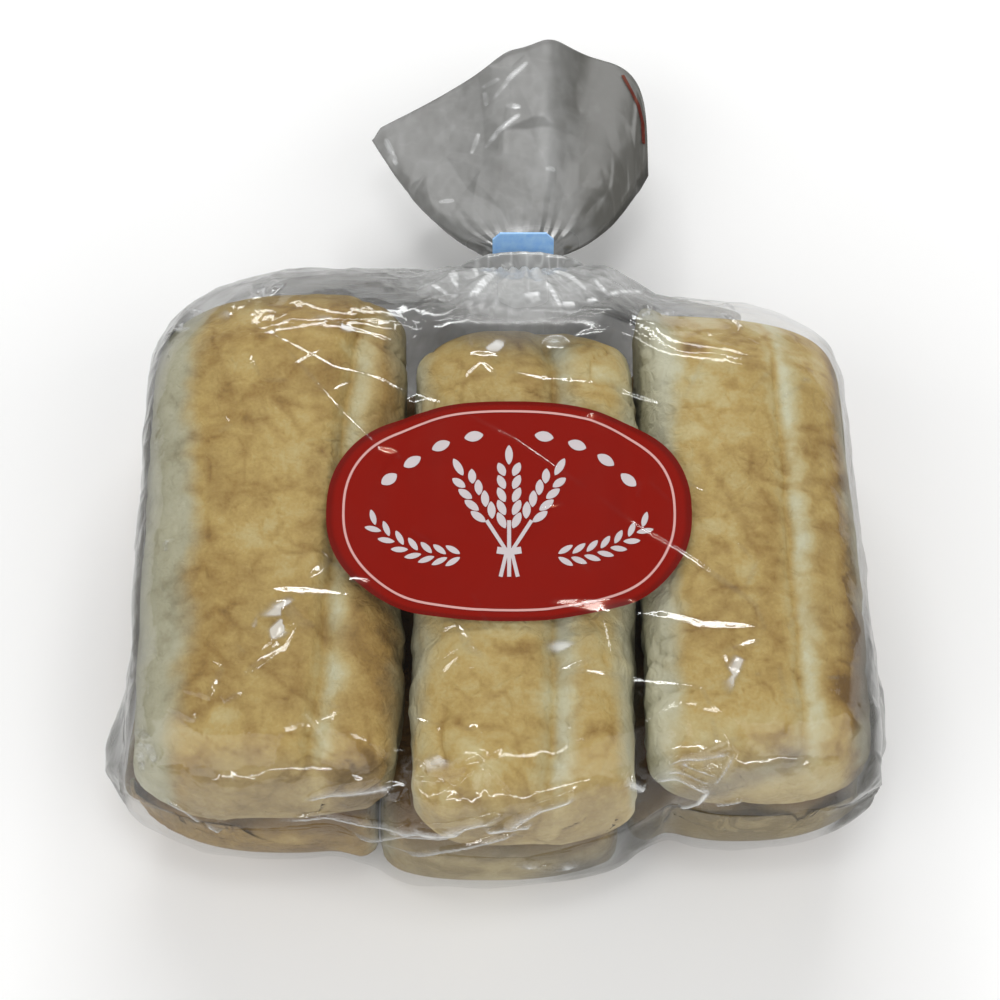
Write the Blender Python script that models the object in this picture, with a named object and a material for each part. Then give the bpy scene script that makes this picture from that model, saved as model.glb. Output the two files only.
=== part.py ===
"""Clear bag of french bread rolls, gathered at the neck and closed with a bag clip.

Six rolls lie in two layers of three. The film is drawn tight over them, dips between
the rolls, stands out in an ear at each front corner, closes to a ridge behind the rolls
and runs through the clip into a folded fan. The bag lies on its back on three flat
strips, one under each lower roll.

Metres. X runs across the rolls, Y along them towards the neck, and Z is up. The origin
is on the floor under the middle of the body.
"""

import math

import bmesh
import bpy
import numpy as np

# Bag body, from outside
LEFT_SIDE_X = -0.1250
RIGHT_SIDE_X = 0.1265
RIGHT_TAPER = 0.0045  # how much nearer the right side stands at the back
WIDEST_Z = 0.049  # height at which the sides stand out most, between the two layers
TOP_Z = 0.104
UNDER_REACH = 0.057  # depth of the section below WIDEST_Z before the floor flattens it
BODY_POWER = 4.2  # superellipse power of a body section: steep sides, rounded edges

# Dips of the film between neighbouring rolls
TOP_DIP_X = (-0.0315, 0.0445)
TOP_DIP_DEPTH = 0.0085
TOP_DIP_WIDTH = 0.0085
UNDER_DIP_X = (-0.0435, 0.0465)
UNDER_DIP_DEPTH = 0.0055
UNDER_DIP_WIDTH = 0.0050

# Ends of the three roll columns under the film: centre, front, half width
COLUMN_X = (-0.077, -0.004, 0.086)
COLUMN_FRONT_Y = (-0.0925, -0.1020, -0.0885)
COLUMN_HALF_WIDTH = (0.050, 0.054, 0.044)
FRONT_CORNER_SETBACK = 0.013
FRONT_DEPTH = 0.028  # length over which the front rounds off to its seam
FRONT_ROUND_POWER = 2.4  # roundness of the front seen from the side
FRONT_WAIST = 0.0050  # how far the seam lies back between the two layers
SEAM_HALF_HEIGHT = 0.0008

# Ears of empty film at the front corners: reach, then the Y where they start, are full
# and begin to close
LEFT_EAR = (0.0105, -0.030, -0.060, -0.068)
RIGHT_EAR = (0.0050, 0.010, -0.042, -0.056)
EAR_CLOSING = 0.012
EAR_THICKNESS = 0.016

# Back of the bag, where the film closes to a ridge
BACK_LEFT_Y = 0.1185
BACK_RIGHT_Y = 0.1065
BACK_STEP_X = 0.050
BACK_CORNER_SETBACK = 0.021
BACK_PLAN_POWER = 7.0  # squareness of the back corners seen from above
BACK_SLOPE_POWER = 1.5  # low, so that the film slopes from the rolls to the ridge
BACK_DEPTH = 0.044
RIDGE_HALF_HEIGHT = 0.011
SHOULDER_HALF_WIDTH = 0.027

# Neck and clip
NECK_X = 0.0085
NECK_Y = 0.1288
NECK_Z = 0.0480
NECK_RADIUS = 0.0050
CLIP_LEAN = math.radians(28.0)
CLIP_WIDTH = 0.0225
CLIP_HEIGHT = 0.0205
CLIP_THICKNESS = 0.0012
CLIP_HOLE_RADIUS = 0.0056
CLIP_HOLE_DROP = 0.0035  # hole's centre below the plate's centre
CLIP_MOUTH_WIDTH = 0.0036
CLIP_CORNER = 0.0028

# Fan of film behind the clip
FAN_LEFT = (-0.049, 0.191)
FAN_PEAK = (0.020, 0.230)
FAN_RIGHT = (0.0565, 0.172)
FAN_RIGHT_SLOPE = 0.009
FAN_DROOP = 0.007
FAN_HALF_THICKNESS = 0.0009
FAN_ROOT_HALF_THICKNESS = 0.0055
FAN_SPREAD_POWER = (0.46, 0.38)  # left and right; below 1 the fan widens quickly behind the clip

# Mesh density
POINTS_ROUND = 80  # even, so that top and under halves match
FRONT_RINGS = 9
BODY_RINGS = 13
BACK_RINGS = 12
FAN_RINGS = 13


def smooth_step(value, start, end):
    """0 before start, 1 after end, with a smooth change between."""
    share = np.clip((np.asarray(value, float) - start) / (end - start), 0.0, 1.0)
    return share * share * (3.0 - 2.0 * share)


def bump(value, centre, width):
    """1 at centre, falling off smoothly over width on either side."""
    return np.exp(-(((np.asarray(value, float) - centre) / width) ** 2))


def fall_off(share, power):
    """1 at share 0 and 0 at share 1, along a superellipse of this power."""
    return np.maximum(1.0 - np.asarray(share, float) ** power, 0.0) ** (1.0 / power)


def spaced_evenly(x, y, count):
    """Parameters 0..1 along the open line (x, y) that split its length evenly."""
    length = np.concatenate([[0.0], np.cumsum(np.hypot(np.diff(x), np.diff(y)))])
    return np.interp(np.linspace(0.0, length[-1], count), length, np.linspace(0.0, 1.0, len(x)))


def directions():
    """Angles round a section, even along a body section's outline, starting at +X."""
    angle = np.linspace(0.0, math.pi, 2000)
    across, up = unit_section(angle, BODY_POWER)
    half_width = (RIGHT_SIDE_X - LEFT_SIDE_X) / 2.0
    share = spaced_evenly(across * half_width, up * (TOP_Z - WIDEST_Z), POINTS_ROUND // 2 + 1)
    top = share * math.pi
    return np.concatenate([top, 2.0 * math.pi - top[-2:0:-1]])


def unit_section(angle, power):
    """Point at each angle of the superellipse |x|^power + |z|^power = 1."""
    cos, sin = np.cos(angle), np.sin(angle)
    radius = (np.abs(cos) ** power + np.abs(sin) ** power) ** (-1.0 / power)
    return radius * cos, radius * sin


def front_line(x):
    """Y of the bag's front at each X: the nearest of three rounded roll ends."""
    ends = [
        front + FRONT_CORNER_SETBACK * (np.abs(x - centre) / half) ** 2.5
        for centre, front, half in zip(COLUMN_X, COLUMN_FRONT_Y, COLUMN_HALF_WIDTH)
    ]
    softness = 0.0015
    return -softness * np.log(sum(np.exp(-end / softness) for end in ends))


def back_line(x):
    """Y of the ridge behind the rolls at each X: straight, set back at the corners."""
    step = smooth_step(x, BACK_STEP_X - 0.012, BACK_STEP_X + 0.012)
    straight = BACK_LEFT_Y + (BACK_RIGHT_Y - BACK_LEFT_Y) * step
    return straight - BACK_CORNER_SETBACK * (np.abs(x) / RIGHT_SIDE_X) ** 6 * (1.0 - 0.4 * step)


def ear(y, reach, start, full, hold):
    """How far a corner of empty film stands out at each Y."""
    opening = smooth_step(-y, -start, -full)
    return reach * opening * (1.0 - 0.8 * smooth_step(-y, -hold, EAR_CLOSING - hold))


def body_ring(angle, y_of_x, closed_size, width_share, height_share):
    """One closed section of the bag's body: full at share 1, and closed_size, its centre,
    half width and half height, at share 0."""
    across, up = unit_section(angle, BODY_POWER)
    middle = (LEFT_SIDE_X + RIGHT_SIDE_X) / 2.0
    half = (RIGHT_SIDE_X - LEFT_SIDE_X) / 2.0
    closed_centre, closed_width, closed_height = closed_size
    centre = closed_centre + (middle - closed_centre) * width_share
    x = centre + across * (closed_width + (half - closed_width) * width_share)
    y = y_of_x(x)
    reach = np.where(up > 0.0, TOP_Z - WIDEST_Z, UNDER_REACH)
    z = WIDEST_Z + up * (closed_height + (reach - closed_height) * height_share)
    z = np.maximum(z, 0.0)
    over = smooth_step(up, 0.35, 0.85) * smooth_step(height_share, 0.15, 0.6)
    under = smooth_step(-up, 0.35, 0.85) * smooth_step(height_share, 0.15, 0.6)
    for dip in TOP_DIP_X:
        z = z - TOP_DIP_DEPTH * over * bump(x, dip, TOP_DIP_WIDTH)
    for dip in UNDER_DIP_X:
        z = z + UNDER_DIP_DEPTH * under * bump(x, dip, UNDER_DIP_WIDTH)
    flat = bump(z, WIDEST_Z - 0.004, EAR_THICKNESS) * np.abs(across) ** 12
    left = ear(y, *LEFT_EAR)
    right = ear(y, *RIGHT_EAR)
    x = x - RIGHT_TAPER * smooth_step(y, -0.020, 0.060) * np.maximum(across, 0.0)
    x = x + flat * np.where(across < 0.0, -left, right)
    return np.stack([x, y, z], axis=1)


def front_rings(angle):
    """Sections from the front seam back to the full height."""
    seam = ((LEFT_SIDE_X + RIGHT_SIDE_X) / 2.0, (RIGHT_SIDE_X - LEFT_SIDE_X) / 2.0, SEAM_HALF_HEIGHT)
    share = np.linspace(0.0, 1.0, 2000)
    height = (TOP_Z - WIDEST_Z) * fall_off(share, FRONT_ROUND_POWER)
    rings = []
    for t in spaced_evenly(height, FRONT_DEPTH * share, FRONT_RINGS + 1)[:0:-1]:
        ring = body_ring(
            angle, lambda x: front_line(x) + FRONT_DEPTH * (1.0 - t), seam, 1.0, fall_off(t, FRONT_ROUND_POWER)
        )
        ring[:, 1] += FRONT_WAIST * t * bump(ring[:, 2], WIDEST_Z, 0.014)
        rings.append(ring)
    return rings


def middle_rings(angle):
    """Full sections from the front's end to the start of the back."""
    rings = []
    for share in np.linspace(0.0, 1.0, BODY_RINGS + 1)[:-1]:
        rings.append(
            body_ring(
                angle,
                lambda x: (front_line(x) + FRONT_DEPTH) * (1.0 - share) + (back_line(x) - BACK_DEPTH) * share,
                (NECK_X, SHOULDER_HALF_WIDTH, RIDGE_HALF_HEIGHT),
                1.0,
                1.0,
            )
        )
    return rings


def back_rings(angle):
    """Sections that slope down to the ridge and close on the neck."""
    shoulder = (NECK_X + 0.002, SHOULDER_HALF_WIDTH, RIDGE_HALF_HEIGHT)
    share = np.linspace(0.0, 1.0, 2000)
    half = (RIGHT_SIDE_X - LEFT_SIDE_X) / 2.0
    rings = []
    for t in spaced_evenly(half * fall_off(share, BACK_PLAN_POWER), BACK_DEPTH * share, BACK_RINGS):
        rings.append(
            body_ring(
                angle,
                lambda x: back_line(x) - BACK_DEPTH * (1.0 - t),
                shoulder,
                fall_off(t, BACK_PLAN_POWER),
                fall_off(t, BACK_SLOPE_POWER),
            )
        )
    return rings


def neck_rings(angle):
    """Sections through the clip, square to the leaning plate."""
    stations = (
        # distance along the neck, half width, half height
        (-0.0080, 0.0245, 0.0130),
        (-0.0045, 0.0210, 0.0120),
        (-0.0026, 0.0120, 0.0070),
        (-0.0013, NECK_RADIUS, NECK_RADIUS),
        (0.0013, NECK_RADIUS, NECK_RADIUS),
        (0.0028, 0.0110, 0.0062),
    )
    rings = []
    for along, half_width, half_height in stations:
        across, up = unit_section(angle, 2.2)
        x = NECK_X + across * half_width
        y = NECK_Y + along * math.cos(CLIP_LEAN) + up * half_height * math.sin(CLIP_LEAN)
        z = NECK_Z - along * math.sin(CLIP_LEAN) + up * half_height * math.cos(CLIP_LEAN)
        rings.append(np.stack([x, y, z], axis=1))
    return rings


def fan_edge(across):
    """Plan position of the fan's free edge: left tip, rounded peak, right corner."""
    middle = (FAN_LEFT[0] + FAN_RIGHT[0]) / 2.0
    half = (FAN_RIGHT[0] - FAN_LEFT[0]) / 2.0
    peak = (FAN_PEAK[0] - middle) / half
    to_left = np.clip((peak - across) / (peak + 1.0), 0.0, 1.0)
    to_right = np.clip((across - peak) / (1.0 - peak), 0.0, 1.0)
    left = FAN_PEAK[1] - (FAN_PEAK[1] - FAN_LEFT[1]) * to_left**1.15
    right = FAN_RIGHT[1] + (FAN_PEAK[1] - FAN_RIGHT[1]) * fall_off(to_right, 5.0)
    right = right - FAN_RIGHT_SLOPE * to_right * fall_off(to_right, 5.0)
    return middle + half * across, np.where(across < peak, left, right)


def fan_fold(across, reach):
    """Height of the fan's folds: one crest towards the peak, a trough each side."""
    crest = 0.0060 * bump(across, 0.28, 0.13)
    right_trough = -0.0035 * bump(across, 0.62, 0.20)
    left_wave = 0.0030 * np.sin(4.2 * (across + 0.15)) * smooth_step(-across, -0.1, 0.3)
    return reach * (crest + right_trough + left_wave)


def fan_rings(angle):
    """Sections of the fan: thin folded strips that open out from the neck."""
    rings = []
    for reach in np.linspace(0.05, 1.0, FAN_RINGS):
        across, up = unit_section(angle, 3.0)
        edge_x, edge_y = fan_edge(across)
        spread = np.where(edge_x < NECK_X, reach ** FAN_SPREAD_POWER[0], reach ** FAN_SPREAD_POWER[1])
        x = NECK_X + (edge_x - NECK_X) * spread
        start_y = NECK_Y + 0.0035
        y = start_y + (edge_y - start_y) * reach
        thickness = FAN_HALF_THICKNESS + FAN_ROOT_HALF_THICKNESS * (1.0 - reach) ** 1.5
        droop = FAN_DROOP * reach**1.6 * (0.4 + 0.6 * np.abs(across))
        z = NECK_Z - 0.0025 - droop + fan_fold(across, reach) + up * thickness
        rings.append(np.stack([x, y, z], axis=1))
    return rings


def collection_named(name):
    collection = bpy.data.collections.new(name)
    bpy.context.scene.collection.children.link(collection)
    return collection


def material_named(name, colour, roughness, metallic=0.0, alpha=1.0):
    material = bpy.data.materials.new(name)
    material.use_nodes = True
    shader = material.node_tree.nodes["Principled BSDF"]
    shader.inputs["Base Color"].default_value = (*colour, 1.0)
    shader.inputs["Roughness"].default_value = roughness
    shader.inputs["Metallic"].default_value = metallic
    shader.inputs["Alpha"].default_value = alpha
    return material


def close_strip(mesh_maker, ring):
    """Closes a thin end section: each point on top is joined to the one under it."""
    count = len(ring)
    half = count // 2
    mesh_maker.faces.new((ring[0], ring[1], ring[count - 1]))
    for i in range(1, half - 1):
        mesh_maker.faces.new((ring[i], ring[i + 1], ring[count - i - 1], ring[count - i]))
    mesh_maker.faces.new((ring[half - 1], ring[half], ring[half + 1]))


def add_bag(collection):
    """Lofts the rings from the front seam to the fan's free edge."""
    angle = directions()
    rings = front_rings(angle) + middle_rings(angle) + back_rings(angle) + neck_rings(angle) + fan_rings(angle)
    mesh_maker = bmesh.new()
    rows = [[mesh_maker.verts.new(place) for place in ring] for ring in rings]
    for lower, upper in zip(rows, rows[1:]):
        for i in range(POINTS_ROUND):
            j = (i + 1) % POINTS_ROUND
            mesh_maker.faces.new((lower[i], lower[j], upper[j], upper[i]))
    close_strip(mesh_maker, rows[0])
    close_strip(mesh_maker, rows[-1])
    bmesh.ops.recalc_face_normals(mesh_maker, faces=mesh_maker.faces)
    bmesh.ops.triangulate(mesh_maker, faces=mesh_maker.faces, quad_method="FIXED")
    mesh = bpy.data.meshes.new("bag")
    mesh_maker.to_mesh(mesh)
    mesh_maker.free()
    mesh.shade_smooth()
    mesh.materials.append(material_named("film over rolls", (0.45, 0.32, 0.14), 0.30))
    bag = bpy.data.objects.new("bag", mesh)
    collection.objects.link(bag)
    return bag


def clip_outline():
    """The plate's outline in its own plane, with cut corners, a round hole and a mouth below it."""
    half_width = CLIP_WIDTH / 2.0
    half_height = CLIP_HEIGHT / 2.0
    mouth = CLIP_MOUTH_WIDTH / 2.0
    start = math.asin(mouth / CLIP_HOLE_RADIUS)
    hole = [
        (
            CLIP_HOLE_RADIUS * math.sin(turn),
            -CLIP_HOLE_DROP - CLIP_HOLE_RADIUS * math.cos(turn),
        )
        for turn in np.linspace(start, 2.0 * math.pi - start, 25)
    ]
    return (
        [(mouth + 0.0012, -half_height)]
        + hole
        + [
            (-mouth - 0.0012, -half_height),
            (-half_width + CLIP_CORNER, -half_height),
            (-half_width, -half_height + CLIP_CORNER),
            (-half_width, half_height - CLIP_CORNER),
            (-half_width + CLIP_CORNER, half_height),
            (half_width - CLIP_CORNER, half_height),
            (half_width, half_height - CLIP_CORNER),
            (half_width, -half_height + CLIP_CORNER),
            (half_width - CLIP_CORNER, -half_height),
        ]
    )


def add_clip(collection):
    """Flat plate punched from sheet, leaning back, with its hole round the neck."""
    curve = bpy.data.curves.new("clip", "CURVE")
    curve.dimensions = "2D"
    curve.fill_mode = "BOTH"
    curve.extrude = CLIP_THICKNESS / 2.0
    outline = clip_outline()
    spline = curve.splines.new("POLY")
    spline.points.add(len(outline) - 1)
    for spot, (across, up) in zip(spline.points, outline):
        spot.co = (across, up, 0.0, 1.0)
    spline.use_cyclic_u = True
    curve.materials.append(material_named("clip", (0.16, 0.33, 0.62), 0.40))
    clip = bpy.data.objects.new("clip", curve)
    clip.rotation_euler = (math.pi / 2.0 - CLIP_LEAN, 0.0, 0.0)
    clip.location = (
        NECK_X,
        NECK_Y + CLIP_HOLE_DROP * math.sin(CLIP_LEAN),
        NECK_Z + CLIP_HOLE_DROP * math.cos(CLIP_LEAN),
    )
    collection.objects.link(clip)
    return clip


def main():
    for obj in list(bpy.data.objects):
        bpy.data.objects.remove(obj, do_unlink=True)
    parts = collection_named("bag_of_rolls")
    add_bag(parts)
    add_clip(parts)


main()
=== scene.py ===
import math

import bpy
import numpy as np
from mathutils import Matrix, Vector, geometry


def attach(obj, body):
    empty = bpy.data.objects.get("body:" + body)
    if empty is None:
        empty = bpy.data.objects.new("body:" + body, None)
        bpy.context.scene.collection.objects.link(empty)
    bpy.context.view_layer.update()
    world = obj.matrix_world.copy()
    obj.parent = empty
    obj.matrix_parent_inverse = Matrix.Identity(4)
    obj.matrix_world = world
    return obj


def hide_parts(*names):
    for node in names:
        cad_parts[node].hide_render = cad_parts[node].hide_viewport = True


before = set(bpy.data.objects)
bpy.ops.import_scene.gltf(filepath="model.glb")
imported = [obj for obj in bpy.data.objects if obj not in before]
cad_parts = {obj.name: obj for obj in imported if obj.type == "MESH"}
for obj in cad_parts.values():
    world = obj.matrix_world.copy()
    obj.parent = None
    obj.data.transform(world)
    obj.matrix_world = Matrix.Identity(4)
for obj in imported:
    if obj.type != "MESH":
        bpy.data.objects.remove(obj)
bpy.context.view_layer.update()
mm = 0.001

# the bag's form, the same named values as the solid that the film stands for, in metres

bagForm = {
    "leftSideX": -0.1250, "rightSideX": 0.1265, "rightTaper": 0.0045,
    "widestZ": 0.049, "topZ": 0.104, "underReach": 0.057, "sectionPower": 4.2,
    "topDipX": (-0.0315, 0.0455), "topDipDepth": 0.0028, "topDipWidth": 0.0095,
    "underDipX": (-0.0435, 0.0465), "underDipDepth": 0.0055, "underDipWidth": 0.0050,
    "dipsUp": (0.35, 0.85), "dipsOpen": (0.15, 0.6),  # how steep and how high a section is where its dips begin
    "columnX": (-0.077, -0.004, 0.086), "columnFrontY": (-0.0925, -0.1020, -0.0885),  # the three pairs of rolls
    "columnHalfWidth": (0.050, 0.054, 0.044), "cornerSetback": 0.013, "cornerPower": 2.5, "cornerSoftness": 0.0015,
    "frontDepth": 0.028, "frontPower": 2.4, "frontWaist": 0.0050, "waistHeight": 0.014,
    # an ear of empty film: its reach, and the y where it starts, is full and begins to close
    "leftEar": (0.0105, -0.030, -0.060, -0.068), "rightEar": (0.0050, 0.010, -0.042, -0.056),
    "earClosing": 0.012, "earClosed": 0.8, "earThickness": 0.016, "earDrop": 0.004, "earPower": 12,
    "backLeftY": 0.1185, "backRightY": 0.1065, "backStepX": 0.050, "backStepHalf": 0.012, "backSetback": 0.021,
    "backPlanPower": 7.0, "backSlopePower": 1.5, "backDepth": 0.044, "backCornerPower": 6,
    "ridgeHalfHeight": 0.011, "shoulderHalfWidth": 0.027, "taperY": (-0.020, 0.060),
}
bodyMiddle = (bagForm["leftSideX"] + bagForm["rightSideX"]) / 2.0
bodyHalf = (bagForm["rightSideX"] - bagForm["leftSideX"]) / 2.0
neckForm = {
    "x": 0.0085, "y": 0.1288, "z": 0.0480, "lean": math.radians(28.0), "sectionPower": 2.2,
    # along the neck, half width, half height
    "stations": ((-0.0085, 0.0250, 0.0105), (-0.0050, 0.0205, 0.0085), (-0.0028, 0.0120, 0.0060),
                 (-0.0013, 0.0050, 0.0050), (0.0013, 0.0050, 0.0050), (0.0028, 0.0110, 0.0062)),
}
fanForm = {
    "left": (-0.049, 0.191), "peak": (0.020, 0.230), "right": (0.0565, 0.172), "rightSlope": 0.009,
    "droop": 0.007, "halfThickness": 0.0009, "rootHalfThickness": 0.0055, "spreadPower": (0.46, 0.38),
    "rounding": 0.07, "tipRounding": 0.0035, "leftStep": 0.0024, "sectionPower": 3.0,
    "start": (0.0035, -0.0025),  # behind and above the neck's middle
    # folds: height, place across the fan and half width; the wave: height, turns and shift
    "crest": (0.0030, 0.28, 0.17), "trough": (-0.0030, 0.62, 0.20), "wave": (0.0022, 4.2, 0.15),
}
fanMiddle = (fanForm["left"][0] + fanForm["right"][0]) / 2.0
fanHalf = (fanForm["right"][0] - fanForm["left"][0]) / 2.0
fanPeak = (fanForm["peak"][0] - fanMiddle) / fanHalf  # place of the peak across the fan, -1..1


# small helpers

def smoothStep(value, start, end):
    # 0 before start, 1 after end, 3s^2 - 2s^3 between
    share = np.clip((np.asarray(value, float) - start) / (end - start), 0.0, 1.0)
    return share * share * (3.0 - 2.0 * share)


def window(value, rise, fall):
    # up from 0 to 1 over the first range, and down to 0 again over the second
    return smoothStep(value, *rise) * (1.0 - smoothStep(value, *fall))


def bell(value, centre, width):
    # exp(-d^2) of the distance from centre in widths
    return np.exp(-(((np.asarray(value, float) - centre) / width) ** 2))


def fallOff(share, power):
    # superellipse quarter: (1 - s^p)^(1/p), 1 at 0 and 0 at 1
    return np.maximum(1.0 - np.abs(np.asarray(share, float)) ** power, 0.0) ** (1.0 / power)


def unitSection(angle, power):
    # point of |x|^p + |z|^p = 1 in the direction of each angle
    cos, sin = np.cos(angle), np.sin(angle)
    radius = (np.abs(cos) ** power + np.abs(sin) ** power) ** (-1.0 / power)
    return radius * cos, radius * sin


def spacedBy(x, y, density, count):
    # parameters 0..1 along the open line (x, y) so that each step holds an equal share of length times density
    steps = np.hypot(np.diff(x), np.diff(y)) * (density[1:] + density[:-1]) / 2.0
    length = np.concatenate([[0.0], np.cumsum(steps)])
    return np.interp(np.linspace(0.0, length[-1], count), length, np.linspace(0.0, 1.0, len(x)))


def latticeValue(cells, seed):
    # whole-number hash of each lattice cell, spread over -1..1
    mixed = (cells[..., 0] * 73856093) ^ (cells[..., 1] * 19349663) ^ (cells[..., 2] * 83492791) ^ (seed * 40503)
    mixed = (mixed ^ (mixed >> 13)) * 1274126177
    mixed = mixed ^ (mixed >> 16)
    return (mixed & 0xFFFF) / 32767.5 - 1.0


def smoothNoise(points, size, seed):
    # value noise: the hash at the eight corners of each cell of this size, blended with a quintic step
    cell = points / size + 100.0
    base = np.floor(cell).astype(np.int64)
    share = cell - base
    share = share**3 * (share * (share * 6.0 - 15.0) + 10.0)
    total = 0.0
    for corner in np.ndindex(2, 2, 2):
        weight = np.prod(np.where(np.array(corner), share, 1.0 - share), axis=-1)
        total = total + weight * latticeValue(base + np.array(corner), seed)
    return total


def layeredNoise(points, size, seed, layers=3):
    # sum of value noises, each layer half the size and 0.55 of the strength of the one before
    total, strength, whole = 0.0, 1.0, 0.0
    for layer in range(layers):
        total = total + strength * smoothNoise(points, size * 0.5**layer, seed + layer)
        whole += strength
        strength *= 0.55
    return total / whole


def gridNormals(grid):
    # cross product of the two grid directions at every point, made one long
    alongRows = np.gradient(grid, axis=0)
    alongColumns = np.gradient(grid, axis=1)
    normal = np.cross(alongRows, alongColumns)
    return normal / np.maximum(np.linalg.norm(normal, axis=-1, keepdims=True), 1e-12)


def closedNormals(grid):
    # the same for a grid whose columns close to a ring
    return gridNormals(np.concatenate([grid[:, -1:], grid, grid[:, :1]], axis=1))[:, 1:-1]


def gridFaces(rows, columns, wrap=False):
    # four corners of each cell of a grid stored row by row, turned so that row x column points out
    r, c = np.meshgrid(np.arange(rows - 1), np.arange(columns if wrap else columns - 1), indexing="ij")
    d = (c + 1) % columns
    corners = np.stack([r * columns + c, (r + 1) * columns + c, (r + 1) * columns + d, r * columns + d], axis=-1)
    return corners.reshape(-1, 4)


def capFaces(columns, pole, row=0):
    # triangles from a pole to a closed row of a grid, turned as the faces of its first row are
    first, around = row * columns, np.arange(columns)
    return np.stack([np.full(columns, pole), first + around, first + (around + 1) % columns], axis=1)


def bilinear(grid, row, column):
    # value of a grid between its points, at fractional row and column
    r = np.clip(np.floor(row).astype(int), 0, grid.shape[0] - 2)
    c = np.clip(np.floor(column).astype(int), 0, grid.shape[1] - 2)
    a, b = (row - r)[..., None], (column - c)[..., None]
    return (grid[r, c] * (1 - a) * (1 - b) + grid[r + 1, c] * a * (1 - b)
            + grid[r, c + 1] * (1 - a) * b + grid[r + 1, c + 1] * a * b)


def lengthAlong(points):
    # length of a line from its first point to each of its points
    return np.concatenate([[0.0], np.cumsum(np.linalg.norm(np.diff(points, axis=0), axis=-1))])


def lineDistance(points, line):
    # distance from every point to an open line of straight parts, and how far along it, 0..1
    line = np.asarray(line, float)
    lengths = np.linalg.norm(np.diff(line, axis=0), axis=1)
    travelled = lengthAlong(line)
    best = np.full(points.shape[:-1], 1e9)
    place = np.zeros(points.shape[:-1])
    for start, end, length, before in zip(line[:-1], line[1:], lengths, travelled):
        along = np.clip(((points - start) @ (end - start)) / length**2, 0.0, 1.0)
        distance = np.linalg.norm(points - start - along[..., None] * (end - start), axis=-1)
        nearer = distance < best
        best = np.where(nearer, distance, best)
        place = np.where(nearer, (before + along * length) / travelled[-1], place)
    return best, place


def makePiece(name, points, faces, material, attributes):
    # points and faces straight into a mesh, every face smooth, with its attributes and material, attached to the
    # root
    mesh = bpy.data.meshes.new(name)
    mesh.vertices.add(len(points))
    mesh.vertices.foreach_set("co", np.asarray(points, np.float32).ravel())
    sizes = np.concatenate([np.full(len(part), part.shape[1]) for part in faces])
    corners = np.concatenate([part.ravel() for part in faces])
    mesh.loops.add(len(corners))
    mesh.loops.foreach_set("vertex_index", corners.astype(np.int32))
    mesh.polygons.add(len(sizes))
    starts = np.concatenate([[0], np.cumsum(sizes)[:-1]])
    mesh.polygons.foreach_set("loop_start", starts.astype(np.int32))
    for key, values in attributes.items():
        layer = mesh.attributes.new(key, "FLOAT", "POINT")
        layer.data.foreach_set("value", np.asarray(values, np.float32).ravel())
    mesh.update(calc_edges=True)
    mesh.validate()
    mesh.shade_smooth()
    mesh.materials.append(material)
    piece = bpy.data.objects.new(name, mesh)
    bpy.context.scene.collection.objects.link(piece)
    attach(piece, "root")
    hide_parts("bag")
    print("made", name, sum(len(part) * (part.shape[1] - 2) for part in faces), "triangles")
    return piece


def linearColour(code):
    # sRGB hex to linear: x/12.92 below 0.04045, else ((x + 0.055)/1.055)^2.4
    parts = [int(code[i:i + 2], 16) / 255.0 for i in (1, 3, 5)]
    return tuple(p / 12.92 if p <= 0.04045 else ((p + 0.055) / 1.055) ** 2.4 for p in parts) + (1.0,)


def addNode(tree, kind, values={}, links={}, **settings):
    # a node with its settings, socket values and links
    node = tree.nodes.new(kind)
    for key, value in settings.items():
        setattr(node, key, value)
    for key, value in values.items():
        node.inputs[key].default_value = value
    for key, source in links.items():
        tree.links.new(source, node.inputs[key])
    return node


def newMaterial(name):
    material = bpy.data.materials.new(name)
    material.use_nodes = True
    return material, material.node_tree, material.node_tree.nodes["Principled BSDF"]


def rampStops(node, stops):
    # colour stops of a ramp from (place, hex) pairs
    ramp = node.color_ramp
    while len(ramp.elements) < len(stops):
        ramp.elements.new(0.5)
    for element, (place, code) in zip(ramp.elements, stops):
        element.position = place
        element.color = linearColour(code)


# camera, lights and floor

# lens and sensor width in millimetres
cameraSettings = {"place": (0.0, -0.3184, 0.8631), "aim": (0.0, 0.0222, 0.075), "lens": 90.0, "sensor": 36.0}
camera = bpy.data.objects.new("camera", bpy.data.cameras.new("camera"))
camera.data.lens = cameraSettings["lens"]
camera.data.sensor_width = cameraSettings["sensor"]
camera.data.clip_start = 0.05
camera.location = cameraSettings["place"]
camera.rotation_euler = (Vector(cameraSettings["aim"]) - camera.location).to_track_quat("-Z", "Y").to_euler()
bpy.context.scene.collection.objects.link(camera)
bpy.context.scene.camera = camera
bpy.context.scene.view_settings.view_transform = "Standard"
cycles = bpy.context.scene.cycles
cycles.transparent_max_bounces = 16  # a line of sight can cross several layers of film
cycles.max_bounces, cycles.diffuse_bounces, cycles.glossy_bounces = 5, 3, 2
cycles.caustics_reflective = cycles.caustics_refractive = False

lightSettings = {
    # name: direction from the bag (x, y, z), distance, size x, size y, radiance
    "front left softbox": ((-0.78, -0.50, 0.62), 1.8, 2.4, 2.0, 1.22),
    "front right softbox": ((0.80, -0.45, 0.60), 1.8, 2.4, 2.0, 1.10),
    "low back strip": ((0.0, 0.95, 0.26), 1.5, 1.1, 0.12, 10.0),
    "high back strip": ((0.0, 0.85, 0.53), 1.5, 1.1, 0.04, 16.0),
    "front low strip": ((0.0, -0.97, 0.24), 1.5, 1.5, 0.035, 24.0),
}
# narrow panels on a ring round the direction that level film mirrors to the camera: level film stays clear,
# and a crease that tilts by half of "away" shines
panelSettings = {"away": 24.0, "turns": (0.0, 40.0, -40.0, 180.0), "distance": 1.5, "length": 0.43,
                 "width": 0.16, "radiance": 12.0}
lightAim = Vector((0.0, 0.02, 0.08))


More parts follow.
